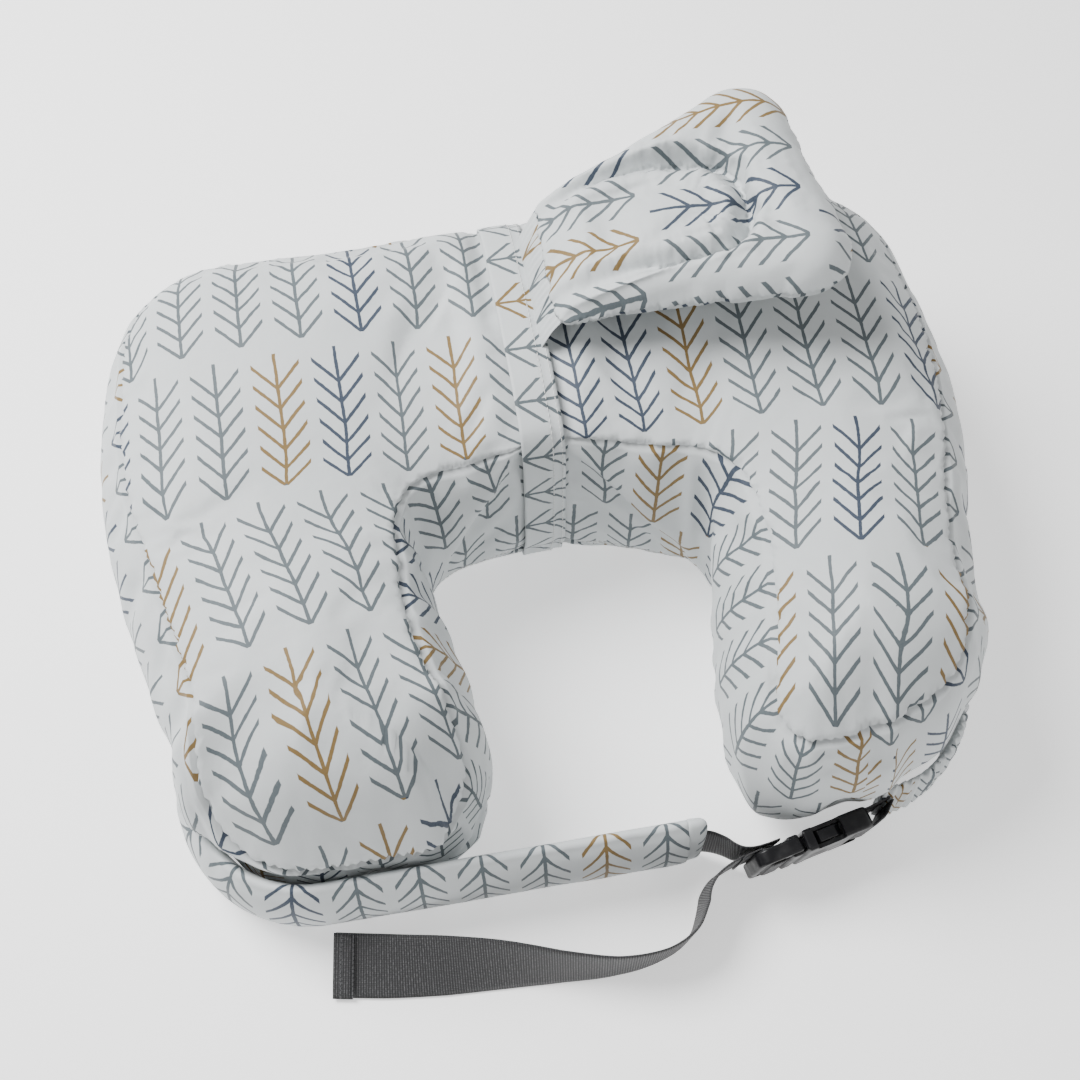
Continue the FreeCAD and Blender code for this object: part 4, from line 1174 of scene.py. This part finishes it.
# The loose end: its middle line in metres, and its upper edge's turn from flat in degrees.
TAIL_ROUTE = [
    (0.0760, -0.2052, 0.0270), (0.0640, -0.2090, 0.0275), (0.0540, -0.2170, 0.0240),
    (0.0490, -0.2290, 0.0206), (0.0420, -0.2410, 0.0200), (0.0240, -0.2500, 0.0198),
    (-0.0040, -0.2520, 0.0198), (-0.0360, -0.2460, 0.0192), (-0.0700, -0.2380, 0.0174),
    (-0.1040, -0.2320, 0.0140), (-0.1380, -0.2260, 0.0114), (-0.1660, -0.2200, 0.0108),
]
TAIL_ROLL = [98, 98, 98, 97, 96, 94, 88, 76, 58, 42, 32, 30]


def unit(v):
    v = np.asarray(v, float)
    return v / np.linalg.norm(v, axis=-1, keepdims=True)


def ribbon(name, middle, across, finish, thick=WEBBING_THICK, half=WEBBING_HALF, wavy=0.0):
    """Flat webbing along a middle line, its width along across, with slightly rounded edges."""
    middle, across = np.asarray(middle, float), unit(across)
    along = unit(np.gradient(middle, axis=0))
    across = unit(across - along * (across * along).sum(1)[:, None])
    face = np.cross(across, along)
    run = run_along(middle)
    w = np.concatenate([np.linspace(-1, 1, 11), np.linspace(1, -1, 11)])
    h = np.array([0.45] + [1.0] * 9 + [0.45] + [-0.45] + [-1.0] * 9 + [-0.45])
    rings = []
    for k in range(len(middle)):
        bow = wavy * np.sin(w * 2.2 + run[k] * 60) * MM
        rings.append(middle[k] + np.outer(w * half, across[k]) + np.outer(h * thick / 2 + bow, face[k]))
    size = len(w)
    verts = np.concatenate(rings)
    faces, uv = [], []
    for k in range(len(middle) - 1):
        for i in range(size):
            j = (i + 1) % size
            faces.append([k * size + i, k * size + j, (k + 1) * size + j, (k + 1) * size + i])
            left, right, near, far = w[i] * half, w[j] * half, run[k], run[k + 1]
            uv += [(left, near), (right, near), (right, far), (left, far)]
    for ring, turned in ((0, -1), (len(middle) - 1, 1)):
        faces.append([ring * size + i for i in range(size)][::turned])
        uv += [(0, 0)] * size
    return mesh_object(name, verts, faces, uv, finish)


def buckle_path(corners, radii):
    """A line bent round the buckle's bars, from corners (along, out of its front) in millimetres."""
    flat = rounded_loop(np.array(corners, float) * MM, [r * MM for r in radii], 0.8 * MM, closed=False)
    middle = BUCKLE_START + flat[:, :1] * BUCKLE_ALONG + flat[:, 1:] * BUCKLE_FRONT
    return middle, np.tile(BUCKLE_UP, (len(middle), 1))


def tail_line():
    """The loose end's own smooth line, read from its spline, and its roll along it."""
    curve = bpy.data.curves.new("tail_route", "CURVE")
    curve.dimensions, curve.resolution_u = "3D", 14
    spline = curve.splines.new("NURBS")
    spline.points.add(len(TAIL_ROUTE) - 1)
    for point, place in zip(spline.points, TAIL_ROUTE):
        point.co = (*place, 1)
    spline.order_u = 3
    spline.use_endpoint_u = True
    carrier = bpy.data.objects.new("tail_route", curve)
    read = bpy.data.meshes.new_from_object(carrier)
    line = np.array([v.co for v in read.vertices])
    bpy.data.objects.remove(carrier)
    route = np.array(TAIL_ROUTE)
    corner_run, run = run_along(route), run_along(line)
    roll = np.radians(np.interp(run / run[-1], corner_run / corner_run[-1], TAIL_ROLL))
    along = unit(np.gradient(line, axis=0))
    away = unit(np.column_stack([along[:, 1], -along[:, 0], np.zeros(len(along))]))
    across = away * np.cos(roll)[:, None] + np.array([0, 0, 1]) * np.sin(roll)[:, None]
    return line, across, run


def make_tail():
    line, across, run = tail_line()
    tail = ribbon("loose_webbing", line, across, FINISH["webbing"])
    along = unit(np.gradient(line, axis=0))
    across = unit(across - along * (across * along).sum(1)[:, None])
    face = np.cross(across, along)
    last = run > run[-1] - 12 * MM
    side = np.sign((face[-1] * (0, -0.3, 1)).sum())
    fold = line[last] + face[last] * side * (WEBBING_THICK + 0.15 * MM)
    fold = np.vstack([fold, fold[-1] + along[-1] * 0.9 * MM])
    turned = np.vstack([across[last], across[-1]])
    hem = ribbon("tail_hem", fold, turned, FINISH["webbing"], thick=1.9 * MM, half=WEBBING_HALF * 1.01)
    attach(hem, "buckle_plug")
    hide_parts("webbing_tail_hem")
    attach(tail, "buckle_plug")
    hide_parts("webbing_tail")
    rows = []
    for back in (2.2, 10.2):
        at = int(np.argmin(np.abs(run - (run[-1] - back * MM))))
        middle = line[at] + face[at] * side * (1.5 * WEBBING_THICK + 0.5 * MM)
        widths = np.linspace(-0.93, 0.93, 20) * WEBBING_HALF
        rows.append(np.array([middle + across[at] * w for w in widths]))
    return tail, hem, rows


def make_webbing():
    """The fixed runs: belt to buckle, round the sliding frame's bars, and buckle to sleeve."""
    start = np.array([50 * MM, -188.9 * MM, 27 * MM])
    ways = [start, (59 * MM, -189.4 * MM, 27 * MM), (68 * MM, -193.5 * MM, 27 * MM)]
    ways += [tuple(BUCKLE_START + BUCKLE_ALONG * u * MM - BUCKLE_FRONT * w * MM)
             for u, w in ((-4, 10.5), (2, 8.6), (10, 7.6), (18.5, 7.5))]
    line = smooth_line(np.array(ways) / MM, 10)
    mix = smooth_step(line[:, 0], 58 * MM, 84 * MM)[:, None]
    across = np.array([0, 0, 1]) * (1 - mix) + BUCKLE_UP * mix
    feed = ribbon("belt_to_buckle_webbing", line, across, FINISH["webbing"], wavy=0.25)
    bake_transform(feed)
    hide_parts("belt_webbing")
    wrap_corners = [(17.75, -5.0), (17.75, 5.1), (7.25, 5.1), (7.25, -5.6), (-3.0, -5.6), (-6.5, -4.4)]
    wrap_path = buckle_path(wrap_corners, [0, 2.2, 2.2, 1.4, 3.0, 0])
    wrap = ribbon("ladder_lock_webbing", *wrap_path, FINISH["webbing"])
    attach(wrap, "buckle_plug")
    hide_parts("webbing_wrap")
    anchor_corners = [(90.0, -5.9), (76.0, -4.9), (64.0, -4.9), (64.0, 4.6), (74.0, 5.6), (83.0, 3.0),
                      (91.0, -3.9)]
    anchor_path = buckle_path(anchor_corners, [0, 6.0, 2.6, 2.6, 5.0, 8.0, 0])
    anchor = ribbon("buckle_to_sleeve_webbing", *anchor_path, FINISH["webbing"])
    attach(anchor, "pillow")
    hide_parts("anchor_webbing")


# ------------------------------------------------------------------ stitches


def stitch_tree():
    """Geometry Nodes: evenly spaced thread stitches along polylines."""
    tree = bpy.data.node_groups.new("running stitch", "GeometryNodeTree")
    face = tree.interface
    face.new_socket("Geometry", in_out="INPUT", socket_type="NodeSocketGeometry")
    for name, value in (("Pitch", 3.6 * MM), ("Length", 2.5 * MM), ("Thread", 0.28 * MM)):
        face.new_socket(name, in_out="INPUT", socket_type="NodeSocketFloat").default_value = value
    face.new_socket("Material", in_out="INPUT", socket_type="NodeSocketMaterial")
    face.new_socket("Geometry", in_out="OUTPUT", socket_type="NodeSocketGeometry")
    nodes = tree.nodes
    given = nodes.new("NodeGroupInput").outputs
    curve = nodes.new("GeometryNodeMeshToCurve")
    spaced = nodes.new("GeometryNodeResampleCurve")
    spaced.mode = "LENGTH"
    bead = nodes.new("GeometryNodeMeshUVSphere")
    bead.inputs["Segments"].default_value, bead.inputs["Rings"].default_value = 8, 6
    bead.inputs["Radius"].default_value = 1.0
    tangent = nodes.new("GeometryNodeInputTangent")
    turn = nodes.new("FunctionNodeAlignRotationToVector")
    turn.axis = "Z"
    half = nodes.new("ShaderNodeMath")
    half.operation = "MULTIPLY"
    half.inputs[1].default_value = 0.5
    size = nodes.new("ShaderNodeCombineXYZ")
    place = nodes.new("GeometryNodeInstanceOnPoints")
    real = nodes.new("GeometryNodeRealizeInstances")
    dressed = nodes.new("GeometryNodeSetMaterial")
    out = nodes.new("NodeGroupOutput")
    wires = [
        (given["Geometry"], curve.inputs["Mesh"]),
        (curve.outputs["Curve"], spaced.inputs["Curve"]),
        (given["Pitch"], spaced.inputs["Length"]),
        (tangent.outputs["Tangent"], turn.inputs["Vector"]),
        (given["Length"], half.inputs[0]),
        (given["Thread"], size.inputs["X"]),
        (given["Thread"], size.inputs["Y"]),
        (half.outputs[0], size.inputs["Z"]),
        (spaced.outputs["Curve"], place.inputs["Points"]),
        (bead.outputs["Mesh"], place.inputs["Instance"]),
        (turn.outputs["Rotation"], place.inputs["Rotation"]),
        (size.outputs["Vector"], place.inputs["Scale"]),
        (place.outputs["Instances"], real.inputs["Geometry"]),
        (real.outputs["Geometry"], dressed.inputs["Geometry"]),
        (given["Material"], dressed.inputs["Material"]),
        (dressed.outputs["Geometry"], out.inputs["Geometry"]),
    ]
    for source, target in wires:
        tree.links.new(source, target)
    return tree


def stitches(name, rows, thread, body, pitch=3.6 * MM, length=2.5 * MM, size=0.28 * MM):
    """One mesh of stitches along several rows of points, riding a body."""
    verts, edges = [], []
    for row in rows:
        edges += [(len(verts) + i, len(verts) + i + 1) for i in range(len(row) - 1)]
        verts += [tuple(p) for p in row]
    mesh = bpy.data.meshes.new(name)
    mesh.from_pydata(verts, edges, [])
    obj = bpy.data.objects.new(name, mesh)
    bpy.context.scene.collection.objects.link(obj)
    made = obj.modifiers.new("Stitches", "NODES")
    made.node_group = GROUPS["stitch"]
    values = {"Pitch": pitch, "Length": length, "Thread": size, "Material": thread}
    for item in made.node_group.interface.items_tree:
        if item.name in values:
            made[item.identifier] = values[item.name]
    bake_modifiers(obj)
    obj.data.polygons.foreach_set("use_smooth", [True] * len(obj.data.polygons))
    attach(obj, body)
    return obj


def on_surface(tree, points, lift=0.15 * MM):
    out = []
    for point in points:
        near, normal, _, _ = tree.find_nearest(Vector(point))
        out.append(np.array(near + normal * lift))
    return np.array(out)


def pillow_stitch_rows(pillow):
    """The lap's lower double row, and the row each side of the zip."""
    tree = surface_of(pillow)
    loop = pillow_outline()
    inner = (np.abs(loop[:, 0]) < 130 * MM) & (loop[:, 1] < 60 * MM) & (loop[:, 1] > -165 * MM)
    lap = loop[inner & (np.abs(loop[:, 0]) > 15 * MM)]
    rows = []
    for side in (-1, 1):
        part = lap[np.sign(lap[:, 0]) == side]
        for z in (24.5 * MM, 20.5 * MM):
            rows.append(on_surface(tree, np.column_stack([part, np.full(len(part), z)])))
    x = np.linspace(ZIP_FAR_X - 2 * MM, ZIP_NEAR_X + 2 * MM, 60)
    for z in (ZIP_Z - 9 * MM, ZIP_Z + 9 * MM):
        back = np.column_stack([x, np.full(len(x), 0.2136), np.full(len(x), z)])
        rows.append(on_surface(tree, back))
    return rows


# ------------------------------------------------------------------ making it

GROUPS = {"fir": fir_print_group(), "weave": weave_group(), "stitch": stitch_tree()}
FINISH = {
    "print": printed_cotton(),
    "webbing": ribbed_webbing(),
    "buckle": moulded_plastic("satin_black_plastic",
                              (0.006, 0.006, 0.007), (0.016, 0.016, 0.017), 0.36),
    "tape": ribbed_tape("zip_tape_twill", (0.66, 0.66, 0.64), 0.7 * MM, 0.12 * MM),
    "coil": ribbed_tape("zip_coil_nylon", (0.74, 0.74, 0.72), 1.25 * MM, 0.5 * MM),
    "metal": zip_metal(),
    "thread": sewing_thread("pale_thread", (0.80, 0.80, 0.78)),
    "dark_thread": sewing_thread("grey_thread", (0.09, 0.09, 0.095)),
}
CAD_FINISH = {
    "buckle": ["buckle_socket", "buckle_frame", "buckle_prong_upper", "buckle_prong_lower"],
    "tape": ["zip_tape_upper", "zip_tape_lower"],
    "coil": ["zip_coil_upper", "zip_coil_lower"],
    "metal": ["zip_end_stops", "zip_slider", "zip_pull"],
}

place_camera()
place_lights()
tail, hem, tack_rows = make_tail()
make_webbing()
pillow = make_pillow()
band, band_rows = make_band(pillow)
cushion = make_cushion()
make_cushion_neck(band)
make_belt()
make_sleeve()
stitches("cover_topstitch", band_rows + pillow_stitch_rows(pillow), FINISH["thread"], "pillow")
stitches("tail_hem_tacks", tack_rows, FINISH["dark_thread"], "buckle_plug",
         pitch=2.4 * MM, length=2.2 * MM, size=0.35 * MM)
for finish_name, nodes in CAD_FINISH.items():
    for node in nodes:
        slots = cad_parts[node].material_slots
        for each in slots:
            each.material = FINISH[finish_name]

FLOOR_CORNERS = [(-3, -3, 0), (3, -3, 0), (3, 3, 0), (-3, 3, 0)]
floor = mesh_object("floor", FLOOR_CORNERS, [(0, 1, 2, 3)], None, floor_paper())
